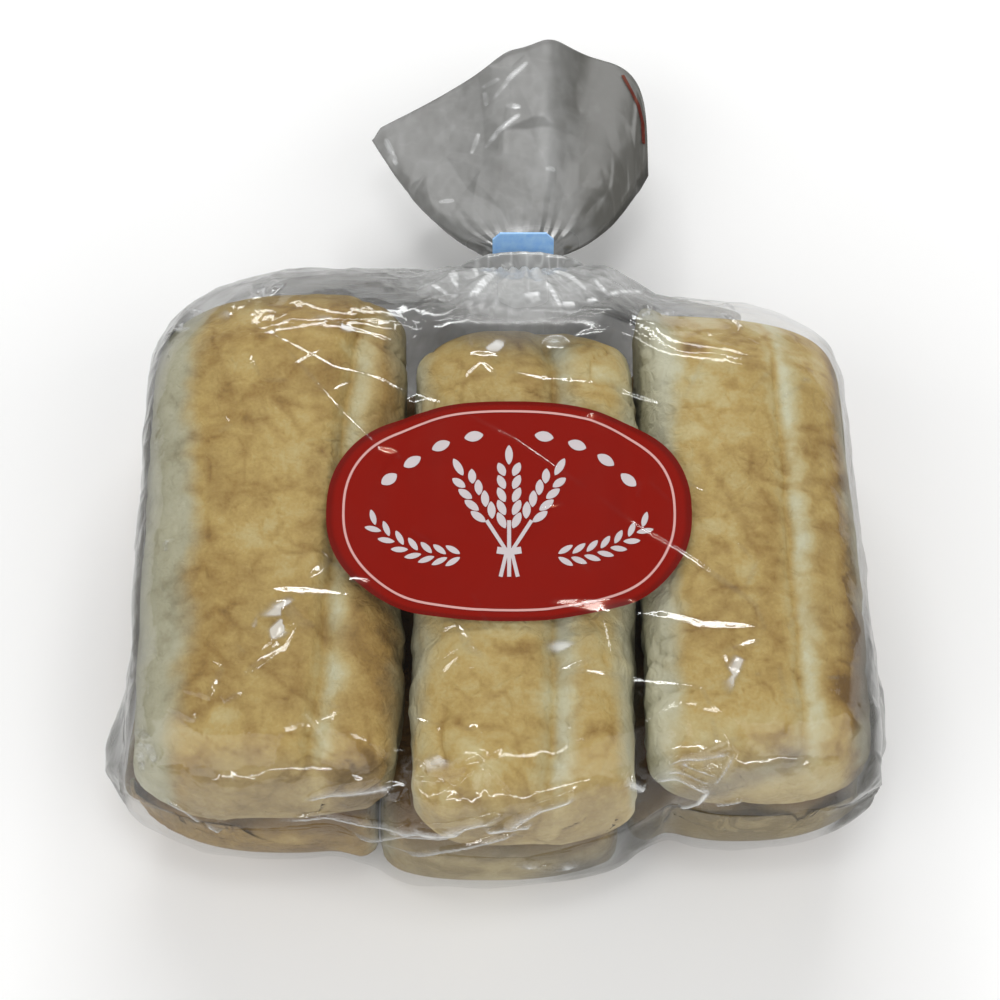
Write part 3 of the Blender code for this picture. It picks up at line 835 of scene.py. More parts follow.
# 1 over the wedge behind the rolls; it reaches further forward behind the middle roll, which is the shortest
overMiddle = bell(px, 0.008, 0.042)
behind = 1.0 - smoothStep(backGap, 0.006 + 0.026 * overMiddle, 0.034 + 0.028 * overMiddle)
behind = behind * smoothStep(py, 0.040 - 0.010 * overMiddle, 0.080 - 0.010 * overMiddle)
leftBehind = 1.0 - 0.85 * smoothStep(px, 0.045, 0.070)  # the wedge is clear behind the right roll
frontEdge = bell(frontGap, 0.024, 0.015) * smoothStep(pz, 0.075, 0.09)
facingUp = smoothStep(filmOut[..., 2], 0.25, 0.45)
facingFront = smoothStep(-filmOut[..., 1], 0.25, 0.45) * (1.0 - smoothStep(filmOut[..., 2], 0.70, 0.85))
steep = np.hypot(filmOut[..., 0], filmOut[..., 1]) / np.maximum(filmOut[..., 2], 0.05)

lifted, creased, taut = creasedSheet(filmBase[..., :2], filmOut,
                                     topCreases + scatteredCreases(creaseForm["scattered"], 77), facingUp)
# painted highlight: the tops of the front folds are painted white as well as lifted
paintedFoldGlint, paintedGlintPatch = np.zeros((2,) + px.shape)
for line, width, side in frontCreases:
    height, mark = foldRidge(filmBase[..., ::2], line, width)
    lifted += height * facingFront
    paintedFoldGlint = np.maximum(paintedFoldGlint, mark * facingFront)
# each patch of painted highlight is a soft oval, broken up by a pattern of facets
for x0, y0, long, wide, turn, strength in paintedGlintPatches:
    dx, dy = px / mm - x0, py / mm - y0
    cos, sin = math.cos(math.radians(turn)), math.sin(math.radians(turn))
    paintedGlintPatch += strength * bell(dx * cos + dy * sin, 0.0, long) * bell(dy * cos - dx * sin, 0.0, wide)
paintedGlintPatch *= facingUp * (0.22 + 0.9 * smoothStep(facetRelief(acrossMm, alongMm, 5.0, 20), 0.05, 0.30))

# each layer of facets: height at every place, facet size and seed; millimetres
facetLayers = (
    (0.10 + 1.15 * slack, 26.0, 11), (0.05 + 0.55 * slack, 11.0, 12), (0.02 + 0.16 * slack, 4.6, 13),
    (0.42 * frontEdge, 11.0, 14), (0.16 * frontEdge, 5.5, 15),
    (0.80 * nearNeck, 7.0, 16), (0.30 * nearNeck, 3.4, 17),
    (0.70 * paintedGlintPatch + 0.10 * behind, 3.2, 18), (0.55 * behind, 8.0, 19),
)
relief = sum(height * facetRelief(acrossMm, alongMm, size, seed) for height, size, seed in facetLayers)
# pleats that run to the neck, wide ones near it and fine ones over the wedge
relief += 1.6 * nearNeck * zigzag(neckTurn * 7.5 + 0.8 * smoothNoise(filmBase, 0.02, 5))
relief += (0.55 * behind * bell(neckAway, 0.0, 62.0)
           * zigzag(neckTurn * 17.0 + 1.4 * smoothNoise(filmBase, 0.012, 6)))
# where the film turns down behind the rolls it is drawn taut, so its glint runs in long lines
taut = np.maximum(taut, 0.8 * bell(steep, 0.27, 0.16) * smoothStep(py, 0.035, 0.055))
relief = np.maximum(relief * mm * (1.0 - 0.8 * taut) + lifted, -0.0012)
# flat at the first rows, where the front's seam is, and on the floor; the last column meets the first one
relief *= smoothStep(np.arange(rowCount), 0, 6)[:, None]
relief *= np.where(pz < 0.0006, 0.0, 0.3 + 0.7 * smoothStep(pz, 0.004, 0.014))
relief[:, -1] = relief[:, 0]
filmShape = filmBase + filmOut * relief[..., None]
filmShape[..., 2] = np.maximum(filmShape[..., 2], 0.0)
filmShape[:, -1] = filmShape[:, 0]

# places that look different: the free sides and their outermost rim, which a clear corner interrupts; the ear at
# the right; the painted shadow below the middle roll's front; the gaps between the rolls; the badge; the doubled
# front fold
lowered = 1.0 - smoothStep(pz, 0.070, 0.100)
atCorner = smoothStep(-py, 0.058, 0.074) * smoothStep(px, -0.132, -0.126)
sideward = np.maximum(1.0 - smoothStep(px, -0.125, -0.107), 0.75 * smoothStep(px, 0.108, 0.123))
standing = ((1.0 - 0.85 * atCorner) * sideward * lowered * (1.0 - 0.70 * smoothStep(px, 0.0, 0.01))
            * smoothStep(pz, 0.012, 0.045))
outermost = (0.36 * (1.0 - 0.7 * atCorner) * (1.0 - smoothStep(px, -0.1335, -0.1240))
             + 0.20 * smoothStep(px, 0.1270, 0.131))
rightEar = smoothStep(px, 0.109, 0.122) * lowered * smoothStep(-py, 0.0, 0.040) * smoothStep(pz, 0.006, 0.020)
# painted shadow: the film is made hazier and darker grey where shade falls below the middle roll's front
paintedShadow = (0.60 * bell(px, 0.028, 0.015) * bell(pz, 0.024, 0.014)
          + 0.40 * bell(px, 0.047, 0.008) * (1.0 - smoothStep(pz, 0.046, 0.066))) * smoothStep(-py, 0.060, 0.075)
overGap = np.maximum(bell(px, -0.0315, 0.006), bell(px, 0.0465, 0.006)) * tight
badgeAway = np.hypot(*[(flat / mm - centre) / half for flat, centre, half
                       in zip((px, py), badgeSettings["centre"], badgeSettings["half"])])
overBadge = 1.0 - smoothStep(badgeAway, 0.97, 1.05)
foldAway, _ = lineDistance(filmBase[..., ::2], np.array(frontFold["line"]) * mm)
fold = bell(foldAway, 0.0, frontFold["width"] * mm) * (1.0 - smoothStep(frontGap, 0.012, 0.030))
# painted highlight: a crease that stands too steep to shine is painted as a broken white line, but not on the front,
# apart from its left corner
onFront = smoothStep(-filmOut[..., 1], 0.15, 0.4) * smoothStep(px, -0.112, -0.100)
paintedSteepGlint = (creased**2 * smoothStep(steep, 0.35, 0.6) * (1.0 - onFront)
            * (0.25 + 0.75 * (1.0 - np.abs(smoothNoise(filmBase, 0.0022, 73))) ** 3))

# haze is how much of what lies behind the film it hides, graze how much more at a glancing angle, and tone runs from
# dark grey film to white, which paints shade, light and glints as well as crumpled film. What each place adds to the
# three:
places = {
    "everywhere": (np.ones(px.shape), 0.06, 0.0, 0.0228),
    "cloudy": (smoothStep(np.abs(layeredNoise(filmBase, 0.02, 40)), 0.1, 0.5), 0.02, 0.0, 0.0),
    "behind the rolls": (behind * leftBehind, 0.46, 0.0, 0.0),
    "behind the middle": (behind * bell(px, 0.008, 0.045) * leftBehind, 0.18, 0.0, 0.0),
    # painted light: the film that turns down behind the rolls is painted a lighter grey over the shade that shows
    # through it
    "back slope": ((1.0 - smoothStep(backGap, 0.006, 0.05)) * smoothStep(py, 0.04, 0.08), 0.0, 0.0, 0.1216),
    "neck": (nearNeck, 0.22, 0.0, -0.038),
    "standing side": (standing, 0.16, 1.6, 0.0),
    "outermost rim": (outermost, 0.30, 1.8, 0.0),
    "right ear": (rightEar, 0.18, 1.4, -0.06),
    # painted shadow: dark hazy film
    "shade": (paintedShadow, 1.0, 0.0, -0.5),
    "front rim": (bell(frontGap, 0.006, 0.010) * window(pz, (0.045, 0.070), (0.088, 0.100)), 0.015, 0.0, 0.0),
    "doubled fold": (fold, frontFold["haze"], 0.0, 0.08),
}
haze, graze, tone = [sum(adds[k] * adds[0] for adds in places.values()) for k in (1, 2, 3)]
# the gaps and the badge are clearer and a crease is more opaque; painted highlights: the glint patches, the front
# folds' tops and the creases too steep to shine are painted white, and painted glint streaks run to the neck
haze = haze * (1.0 - 0.75 * overGap) * (1.0 + 0.14 * layeredNoise(filmBase, 0.006, 45))
haze = np.clip(haze * (1.0 - 0.6 * overBadge) + 0.46 * smoothStep(paintedGlintPatch, 0.06, 0.42), 0.02, 0.92)
haze = np.clip(haze + 0.08 * creased * (1.0 - 0.7 * overBadge) + 0.45 * paintedFoldGlint + 0.3 * paintedSteepGlint, 0.0, 0.95)
# painted highlights: white streaks that run to the neck and white wrinkle lines stand in for the crumpled film's
# glints near the neck and behind the rolls; behind the middle roll the film is also painted lighter against the
# shade behind it
radial = smoothNoise(np.stack([neckTurn * 0.030, neckAway * 0.0001, 0.0 * neckAway], axis=-1), 0.0026, 64)
paintedRadialGlints = (1.0 - np.abs(radial)) ** 7
wrinkled = ((1.0 - np.abs(smoothNoise(filmBase, 0.006, 61))) ** 12
            + (1.0 - np.abs(smoothNoise(filmBase, 0.0028, 63))) ** 9)
tone = (tone + nearNeck * (0.304 * paintedRadialGlints + 0.0456 * wrinkled) + (0.076 * wrinkled + 0.285 * overMiddle) * behind
        + smoothStep(paintedGlintPatch, 0.05, 0.30) + 0.9 * paintedFoldGlint + 0.6 * paintedSteepGlint)
# matt: where the film has no clear mirror image
filmFields = {"haze": haze, "tone": np.clip(tone, 0.0, 1.0), "matt": 0.5 * behind * overMiddle, "graze": graze}

filmNormals = gridNormals(filmShape)
filmNormals[0] = filmNormals[1]


def filmPart(name, rows, columns):
    # the part of the film's grid with these rows and columns; its normals are the whole film's, so no joint shows
    part = np.ix_(rows, columns)
    piece = makePiece(name, filmShape[part].reshape(-1, 3), [gridFaces(len(rows), len(columns))], filmFinish,
                      {key: field[part] for key, field in filmFields.items()})
    piece.data.normals_split_custom_set_from_vertices(filmNormals[part].reshape(-1, 3))


allRows, joint = np.arange(rowCount), rowCount // 2
underRows = np.unique(np.append(allRows[::3], [joint, rowCount - 1]))
filmPart("film_front", allRows[:joint + 1], np.arange(topColumns))
filmPart("film_back", allRows[joint:], np.arange(topColumns))
filmPart("film_under", underRows, np.arange(topColumns - 1, columnCount))


# neck and fan of film

def neckSections(angle):
    # key sections from the body's last ring through the clip: superellipses square to the leaning clip
    form = neckForm
    across, up = unitSection(angle, form["sectionPower"])
    cos, sin = math.cos(form["lean"]), math.sin(form["lean"])
    return [np.stack([form["x"] + across * halfWidth, form["y"] + along * cos + up * halfHeight * sin,
                      form["z"] - along * sin + up * halfHeight * cos], axis=-1)
            for along, halfWidth, halfHeight in form["stations"]]


def sharpEdge(across):
    # y of the free edge before its rounding: from the left tip up to the peak, and round down to the right corner
    form = fanForm
    toLeft = np.clip((fanPeak - across) / (fanPeak + 1.0), 0.0, 1.0)
    toRight = np.clip((across - fanPeak) / (1.0 - fanPeak), 0.0, 1.0)
    leftY, peakY, rightY = form["left"][1], form["peak"][1], form["right"][1]
    left = peakY - (peakY - leftY) * toLeft**1.15 + form["leftStep"] * bell(toLeft, 0.25, 0.11)
    right = rightY + (peakY - rightY - form["rightSlope"] * toRight) * fallOff(toRight, 5.0)
    return np.where(across < fanPeak, left, right)


def fanEdge(across):
    # free edge in plan: left tip, peak and right corner; the mean over a short stretch rounds the peak
    reach = fanForm["rounding"] * bell(across, fanPeak, 0.16)
    steps = np.linspace(-1.0, 1.0, 9)
    y = np.mean([sharpEdge(np.clip(across + step * reach, -1.0, 1.0)) for step in steps], axis=0)
    return fanMiddle + fanHalf * across, y - fanForm["tipRounding"] * smoothStep(-across, 0.93, 1.0)


def fanFold(across, reach):
    # height of the fan's main folds: a crest towards the peak, a trough to its right, a wave to its left
    crest, crestPlace, crestWidth = fanForm["crest"]
    trough, troughPlace, troughWidth = fanForm["trough"]
    wave, turns, shift = fanForm["wave"]
    return reach * (crest * bell(across, crestPlace, crestWidth) + trough * bell(across, troughPlace, troughWidth)
                    + wave * np.sin(turns * (across + shift)) * smoothStep(-across, -0.1, 0.3))


def fanSection(angle, reach):
    # one section of the fan at this reach: a thin closed strip that follows the folds
    form = fanForm
    across, up = unitSection(angle, form["sectionPower"])
    edgeX, edgeY = fanEdge(across)
    leftPower, rightPower = form["spreadPower"]
    spread = np.where(edgeX < neckForm["x"], reach**leftPower, reach**rightPower)
    x = neckForm["x"] + (edgeX - neckForm["x"]) * spread
    startY = neckForm["y"] + form["start"][0]
    y = startY + (edgeY - startY) * reach
    thickness = form["halfThickness"] + form["rootHalfThickness"] * (1.0 - reach) ** 1.5
    droop = form["droop"] * reach**1.6 * (0.4 + 0.6 * np.abs(across))
    z = neckForm["z"] + form["start"][1] - droop + fanFold(across, reach) + up * thickness
    return np.stack(np.broadcast_arrays(x, y, z), axis=-1)


def throughSections(sections, count):
    # smooth loft: Catmull-Rom through the key sections, this many rows between each two
    keys = np.stack([sections[0]] + list(sections) + [sections[-1]])
    rows = []
    for i, steps in zip(range(1, len(keys) - 2), count):
        t = (np.arange(steps) / steps)[:, None, None]
        a, b, c, d = keys[i - 1], keys[i], keys[i + 1], keys[i + 2]
        rows.append(0.5 * (2 * b + (c - a) * t + (2 * a - 5 * b + 4 * c - d) * t**2
                           + (3 * b - 3 * c + d - a) * t**3))
    rows.append(keys[-2][None])
    return np.concatenate(rows)


# rows between the neck's key sections, rows of the fan and the reach that it starts at
fanGrid = {"columns": 400, "samples": 2000, "neckRows": (2, 12, 8, 6, 5, 5, 6, 6), "fanRows": 130,
           "firstReach": 0.05}
ringAcross, ringUp = unitSection(np.linspace(0.0, math.pi, fanGrid["samples"]), fanForm["sectionPower"])
ringTop = spacedBy(ringAcross, ringUp * 0.15, np.ones(fanGrid["samples"]), fanGrid["columns"] // 2 + 1) * math.pi
ringAngle = np.concatenate([ringTop, 2 * math.pi - ringTop[-2:0:-1]])
lastRings = bodySurface(ringAngle, np.array([1.0]), np.array([0.5]), np.array([0.995, 1.0]))[-2:]
reaches = np.linspace(fanGrid["firstReach"], 1.0, fanGrid["fanRows"])
keySections = [*lastRings, *neckSections(ringAngle), fanSection(ringAngle, reaches[0])]
neckPart = throughSections(keySections, fanGrid["neckRows"])
neckRows = len(neckPart)
fanBase = np.concatenate([neckPart, [fanSection(ringAngle, reach) for reach in reaches[1:]]])
fanOut = closedNormals(fanBase)
fanRowCount, fanColumnCount = fanBase.shape[:2]
fx, fy = fanBase[..., 0], fanBase[..., 1]
rowPlace = np.arange(fanRowCount)[:, None]
fanReach = np.clip((rowPlace - neckRows) / (fanRowCount - neckRows), 0.0, 1.0)
fanAcrossMm = lengthAlong(fanBase[neckRows + 80]) / mm
fanAlongMm = lengthAlong(fanBase[:, fanColumnCount // 4]) / mm
fanSlack = smoothStep(fanReach, 0.0, 0.25)
belowClip = 1.0 - smoothStep(rowPlace, neckRows * 0.3, neckRows * 0.5)
# gathers of the neck: rows and their height in millimetres
gatherRows = [0, neckRows * 0.4, neckRows * 0.62, neckRows * 0.8, neckRows, neckRows + 14, neckRows + 40,
              fanRowCount]
gatherSize = np.interp(rowPlace, gatherRows, [0.0, 0.12, 0.3, 0.35, 0.35, 0.12, 0.02, 0.0])
ringPlace = unitSection(ringAngle, fanForm["sectionPower"])[0]
gather = zigzag(ringPlace * 11.0 + 1.2 * smoothNoise(fanBase * [1, 0.25, 1], 0.012, 21))
fanLifted, fanCreased, fanTaut = creasedSheet(fanBase[..., :2], fanOut, fanCreases, fanSlack)
fineHeight = 0.16 * fanSlack * (1.0 - 0.8 * fanTaut) + 0.22 * belowClip
fanRelief = (gather * gatherSize + 0.85 * fanSlack * facetRelief(fanAcrossMm, fanAlongMm, 15.0, 31)
             + fineHeight * facetRelief(fanAcrossMm, fanAlongMm, 5.5, 32)) * mm + fanLifted
fanRelief *= np.minimum(1.0, (fanRowCount - 1 - rowPlace) / 3.0) * np.minimum(1.0, rowPlace / 3.0)
# both layers of the fan are moved the same way, so that they stay apart: up on top, and up underneath
direction = np.where(fanReach[..., None] > 0.02, np.array([0.0, 0.0, 1.0]), fanOut)
mirror = np.concatenate([[0], np.arange(fanColumnCount - 1, 0, -1)])
blend = smoothStep(fanReach, 0.02, 0.3)
sameSide = np.where(np.sin(ringAngle) < 0, fanRelief[:, mirror], fanRelief)
fanShape = fanBase + direction * (fanRelief * (1 - blend) + sameSide * blend)[..., None]

fanCreased = fanCreased * (0.2 + 0.8 * smoothStep(smoothNoise(fanBase, 0.0035, 70), -0.5, 0.4))
fanRight = smoothStep(fx, 0.022, 0.034) * smoothStep(fanReach, 0.05, 0.3)
# the narrow faces beside the neck are one clear layer, with the rolls' ends behind it
besideNeck = 1.0 - smoothStep(rowPlace, neckRows * 0.3, neckRows * 0.6)
besideNeck = besideNeck * smoothStep(np.abs(fx - neckX), 0.024, 0.045)
fanHaze = np.interp(rowPlace, [0, neckRows * 0.3, neckRows * 0.6, neckRows, neckRows + 30, fanRowCount],
                    [0.60, 0.70, 0.90, 0.88, 0.80, 0.74])
fanHaze = fanHaze * (1.0 + 0.12 * layeredNoise(fanBase, 0.012, 51)) + 0.04 + 0.10 * fanRight
fanHaze = np.clip(fanHaze, 0.3, 0.97) * (1.0 - 0.30 * besideNeck)
fanWhite = (1.0 - np.abs(layeredNoise(fanBase, 0.009, 66))) ** 7
paintedNeckGlints = (1.0 - np.abs(smoothNoise(fanBase * [1.0, 0.25, 1.0], 0.0028, 72))) ** 6
# painted light in the fan's tone: painted highlights along the creases, a painted sheen along the crest of the main
# fold, and below the clip the film painted lighter where it stands in shade, with painted glint streaks
fanTone = (0.10 + 0.03 * fanWhite + 0.03 * smoothNoise(fanBase * [1.0, 0.45, 1.0], 0.0022, 68)
           + 0.05 * layeredNoise(fanBase * [1.0, 0.6, 1.0], 0.014, 69)
           - 0.12 * fanRight - 0.22 * besideNeck + 0.40 * fanCreased
           + 0.10 * bell(fx, 0.0185, 0.0035) * bell(fy, 0.180, 0.022)
           + (0.28 + 0.40 * paintedNeckGlints) * (1.0 - smoothStep(rowPlace, neckRows * 0.5, neckRows * 0.9)))
fanMatt = smoothStep(fanReach, 0.0, 0.12) * (1.0 - fanCreased)
# the free edge is closed by a strip between the two layers, with a triangle at each tip
half = fanColumnCount // 2
base = (fanRowCount - 1) * fanColumnCount
strip = np.array([[base + i, base + fanColumnCount - i, base + fanColumnCount - i - 1, base + i + 1]
                  for i in range(1, half - 1)])
tips = np.array([[base, base + fanColumnCount - 1, base + 1], [base + half - 1, base + half + 1, base + half]])
makePiece("film_fan", fanShape.reshape(-1, 3), [gridFaces(fanRowCount, fanColumnCount, wrap=True), strip, tips],
          filmFinish, {"haze": fanHaze, "tone": np.clip(fanTone, 0.0, 1.0), "matt": fanMatt})


# the rolls

# how softly a roll stops at the film: in height, at the back, at the front and at the sides, in metres
stopEase = {"up": 0.002, "back": 0.0015, "front": 0.0012, "side": 0.0012}


def softMost(value, limit, ease):
    # value held below the limit: limit - ease ln(1 + e^((limit - value) / ease))
    return limit - ease * np.logaddexp(0.0, (limit - value) / ease)


def insideFilm(points, room):
    # soft limits that keep a roll this far inside the film: in height over x and y, then towards the front, the back
    # and the sides at the height that is left
    form = bagForm
    x, y, z = points[..., 0], points[..., 1], points[..., 2]
    wholeReach = np.where(z > form["widestZ"], form["topZ"] - form["widestZ"], form["underReach"])
    tFront = np.clip(1.0 - (y - frontLine(x) - room) / form["frontDepth"], 0.0, 0.999)
    tBack = np.clip((y - backLine(x) + form["backDepth"] + room) / form["backDepth"], 0.0, 0.999)
    reach = wholeReach * fallOff(tFront, form["frontPower"]) * fallOff(tBack, form["backSlopePower"])
    wide = bodyHalf * fallOff(tBack, form["backPlanPower"]) - room - rightTaper(y) * (x > bodyMiddle)
    wide = wide + 0.65 * earsOpen(y, z, x < bodyMiddle)
    overWidth = fallOff(np.clip(np.abs(x - bodyMiddle) / wide, 0.0, 0.995), form["sectionPower"])
    dips = sum(form["topDipDepth"] * bell(x, dip, form["topDipWidth"]) for dip in form["topDipX"])
    highest = reach * overWidth - room - np.where(z > form["widestZ"], dips, 0.0)
    away = np.maximum(softMost(np.abs(z - form["widestZ"]), highest, stopEase["up"]), 0.0)
    z = form["widestZ"] + np.sign(z - form["widestZ"]) * away
    # the film's own t at this height, from height share = (1 - t^p)^(1/p), gives its y at the front and at the back
    share = np.clip(away / (wholeReach * overWidth), 0.0, 1.0)
    frontShare = fallOff(share, form["frontPower"])
    nearest = frontLine(x) + form["frontDepth"] * (1.0 - frontShare) + room + 0.001
    nearest = nearest + form["frontWaist"] * frontShare * bell(z, form["widestZ"], form["waistHeight"])
    farthest = backLine(x) - form["backDepth"] * (1.0 - fallOff(share, form["backSlopePower"])) - room - 0.001
    y = -softMost(-softMost(y, farthest, stopEase["back"]), -nearest, stopEase["front"])
    sideways = wide * fallOff(np.clip(away / np.maximum(reach, away + 1e-6), 0.0, 0.995), form["sectionPower"])
    inwards = softMost(np.abs(x - bodyMiddle), np.maximum(sideways, 0.01), stopEase["side"])
    return np.stack([bodyMiddle + np.sign(x - bodyMiddle) * inwards, y, z], axis=-1)


# powers of the sections and of the rounded ends; depth and half width of the score's valley, of the wide dip round
# it and of the crack in it; number and depth of the wrinkles; height of the pads of skin; millimetres
loafForm = {"endPower": 2.3, "cornerPower": 2.3, "topPower": 2.6, "underPower": 4.0,
            "valley": (4.6, 4.2), "dip": (2.4, 13.0), "crack": (0.8, 1.2),
            "wrinkles": 130, "wrinkleDepth": 0.8, "pads": 1.6, "room": 1.2, "samples": 4000}
# how much each mark darkens the crust: broad clouds, browned spots, pale spots, wrinkles, the score's lips, the
# split skin, brown patches. The wrinkles and the lips are partly browner crust and partly painted shade in the
# creases and at the groove's edges
crustForm = {"clouds": 0.15, "spots": 0.09, "paleSpots": -0.14, "wrinkles": 0.24, "lipsAndGrooveShade": 0.14, "split": -0.40,
             "patches": 0.5}
# in millimetres: x, y and z range; the score line's x at the front and at the back; the depths over which the height
# and the width round off at both ends; the width of the pale flank at the left and right side; x, y and size of
# brown spots. Grid cells around and along.
# From 0 to 1: how pale the front and the back end are and how pale the split score is; how dark the crust is, and
# how much darker at the front end; painted shade right of the score and at the right side, and a painted shadow
# along the top of a lower roll; how much lighter on the flanks; how wrinkled the skin is
upperRoll = {"z": (50.6, 102.8), "ends": (27.0, 19.0), "cells": (196, 180), "browned": (),
             "splitPale": 0.5, "frontDark": 0.24, "paintedShadowOnTop": 0.0, "flankLight": 0.08, "wrinkled": 1.0}
# the lower rolls' crust is set much darker than the upper rolls': partly painted shade, as they lie under the upper
# rolls
lowerRoll = {"z": (0.9, 50.2), "cells": (120, 110), "browned": (), "splitPale": 0.5, "paintedShadeRightOfScore": 0.0,
             "frontDark": 0.0, "paintedShadeAtRight": 0.0, "flankLight": 0.0, "wrinkled": 0.2}
rollSettings = {
    "roll_upper_left": {**upperRoll, "x": (-120.5, -33.9), "y": (-89.8, 99.0), "score": (-62.5, -45.0),
                        "pale": (17.0, 3.0), "paleEnds": (0.38, 0.1), "dark": 0.53, "paintedShadeRightOfScore": 0.16,
                        "paintedShadeAtRight": 0.12, "seed": 101},
    "roll_upper_middle": {**upperRoll, "x": (-28.1, 45.0), "y": (-98.8, 82.0), "score": (17.5, 17.0),
                          "pale": (3.0, 3.0), "paleEnds": (0.36, 0.1), "dark": 0.42, "paintedShadeRightOfScore": 0.0,
                          "paintedShadeAtRight": 0.0, "seed": 202, "splitPale": 0.95, "frontDark": 0.30},
    "roll_upper_right": {**upperRoll, "x": (48.5, 121.5), "y": (-84.0, 103.5), "score": (98.5, 93.0),
                         "pale": (10.0, 3.0), "paleEnds": (0.38, 0.0), "dark": 0.47, "paintedShadeRightOfScore": 0.05,
                         "paintedShadeAtRight": 0.64, "seed": 303, "flankLight": 0.32,
                         "browned": ((66.0, 70.0, 4.5), (112.0, -52.0, 5.0))},
    "roll_lower_left": {**lowerRoll, "x": (-131.0, -42.0), "y": (-91.0, 98.0), "score": (-84.0, -84.0),
                        "ends": (13.0, 8.0), "pale": (4.0, 3.0), "paleEnds": (0.2, 0.2), "dark": 0.85,
                        "paintedShadowOnTop": 0.3, "seed": 404},
    "roll_lower_middle": {**lowerRoll, "x": (-41.0, 41.0), "y": (-99.5, 88.0), "score": (2.0, 2.0),
                          "ends": (24.0, 18.0), "pale": (3.0, 3.0), "paleEnds": (0.6, 0.3), "dark": 0.82,
                          "paintedShadowOnTop": 0.6, "seed": 505},
    "roll_lower_right": {**lowerRoll, "x": (44.1, 124.0), "y": (-87.5, 96.0), "score": (84.0, 84.0),
                         "ends": (18.0, 13.0), "pale": (3.0, 4.0), "paleEnds": (0.6, 0.3), "dark": 0.98,
                         "paintedShadowOnTop": 0.5, "seed": 606, "frontDark": 0.05},
}


def rollRanges(settings):
    # x, y and z range in metres
    return [np.array(settings[key]) * mm for key in "xyz"]


def loafSection(turn):
    # superellipse with one power above the middle and another below it
    top, under = unitSection(turn, loafForm["topPower"]), unitSection(turn, loafForm["underPower"])
    isTop = np.sin(turn) >= 0.0
    return np.where(isTop, top[0], under[0]), np.where(isTop, top[1], under[1])


def rollSurface(settings):
    # a loaf: superellipse sections that stay full along the middle; within the two depths of "ends" of each
    # end the height and the width round off; returns the grid and the two pole points
    (x0, x1), (y0, y1), (z0, z1) = rollRanges(settings)
    (around, along), samples = settings["cells"], loafForm["samples"]
    endDepth, cornerDepth = settings["ends"][0] * mm, settings["ends"][1] * mm

    def rounded(place, depth, power):
        fromEnd = np.minimum(place, y1 - y0 - place)
        return fallOff(np.clip(1.0 - fromEnd / depth, 0.0, 1.0), power)

    across, up = loafSection(np.linspace(0.0, 2 * math.pi, samples))
    density = 0.45 + 0.55 * smoothStep(up, -0.2, 0.5)
    share = spacedBy(across * (x1 - x0) / 2, up * (z1 - z0) / 2, density, around + 1)[:-1]
    across, up = loafSection(share * 2 * math.pi)
    place = (1.0 - np.cos(np.linspace(0.0, math.pi, samples))) / 2.0 * (y1 - y0)
    size = rounded(place, cornerDepth, loafForm["cornerPower"])
    share = spacedBy(place, size * 0.035, np.ones(samples), along + 2)[1:-1]
    place = np.interp(share, np.linspace(0, 1, samples), place)[:, None]
    x = (x0 + x1) / 2 + (x1 - x0) / 2 * rounded(place, cornerDepth, loafForm["cornerPower"]) * across
    z = (z0 + z1) / 2 + (z1 - z0) / 2 * rounded(place, endDepth, loafForm["endPower"]) * up
    poles = np.array([[(x0 + x1) / 2, end, (z0 + z1) / 2] for end in (y0, y1)])
    return np.stack(np.broadcast_arrays(x, y0 + place, z), axis=-1), poles


def crustStrokes(points, facing, settings, count):
    # bent wrinkles, 8 to 34 mm long, mostly across the loaf: for each, a soft line exp(-(d/w)^2) in plan
    rng = np.random.default_rng(settings["seed"])
    (x0, x1), (y0, y1), (z0, z1) = rollRanges(settings)
    upper = points[..., 2] > (z0 + z1) / 2
    plan = points[upper][:, :2]
    total = np.zeros(len(plan))
    for _ in range(count):
        middle = np.array([rng.uniform(x0 + 0.012, x1 - 0.012), rng.uniform(y0 + 0.006, y1 - 0.006)])
        turn, length = rng.normal(0.0, 0.6), rng.uniform(0.008, 0.034)
        forward = np.array([math.cos(turn), math.sin(turn)])
        side = np.array([-forward[1], forward[0]])
        bend = rng.uniform(-0.45, 0.25) * length
        step = np.linspace(-0.5, 0.5, 7)[:, None]
        offset = bend * (1.0 - 4.0 * step**2) + rng.normal(0, 0.0008, (7, 1))
        line = middle + forward * step * length + side * offset
        near = np.all(np.abs(plan - middle) < length / 2 + 0.012, axis=1)
        distance, place = lineDistance(plan[near], line)
        width = rng.uniform(0.0008, 0.0015)
        total[near] += rng.uniform(0.35, 1.0) * bell(distance, 0.0, width) * (1.0 - (2.0 * place - 1.0) ** 4)
    result = np.zeros(points.shape[:-1])
    result[upper] = np.minimum(total, 1.3)
    return result * smoothStep(facing, 0.35, 0.7) * (0.6 + 0.4 * smoothNoise(points, 0.006, settings["seed"] + 41))


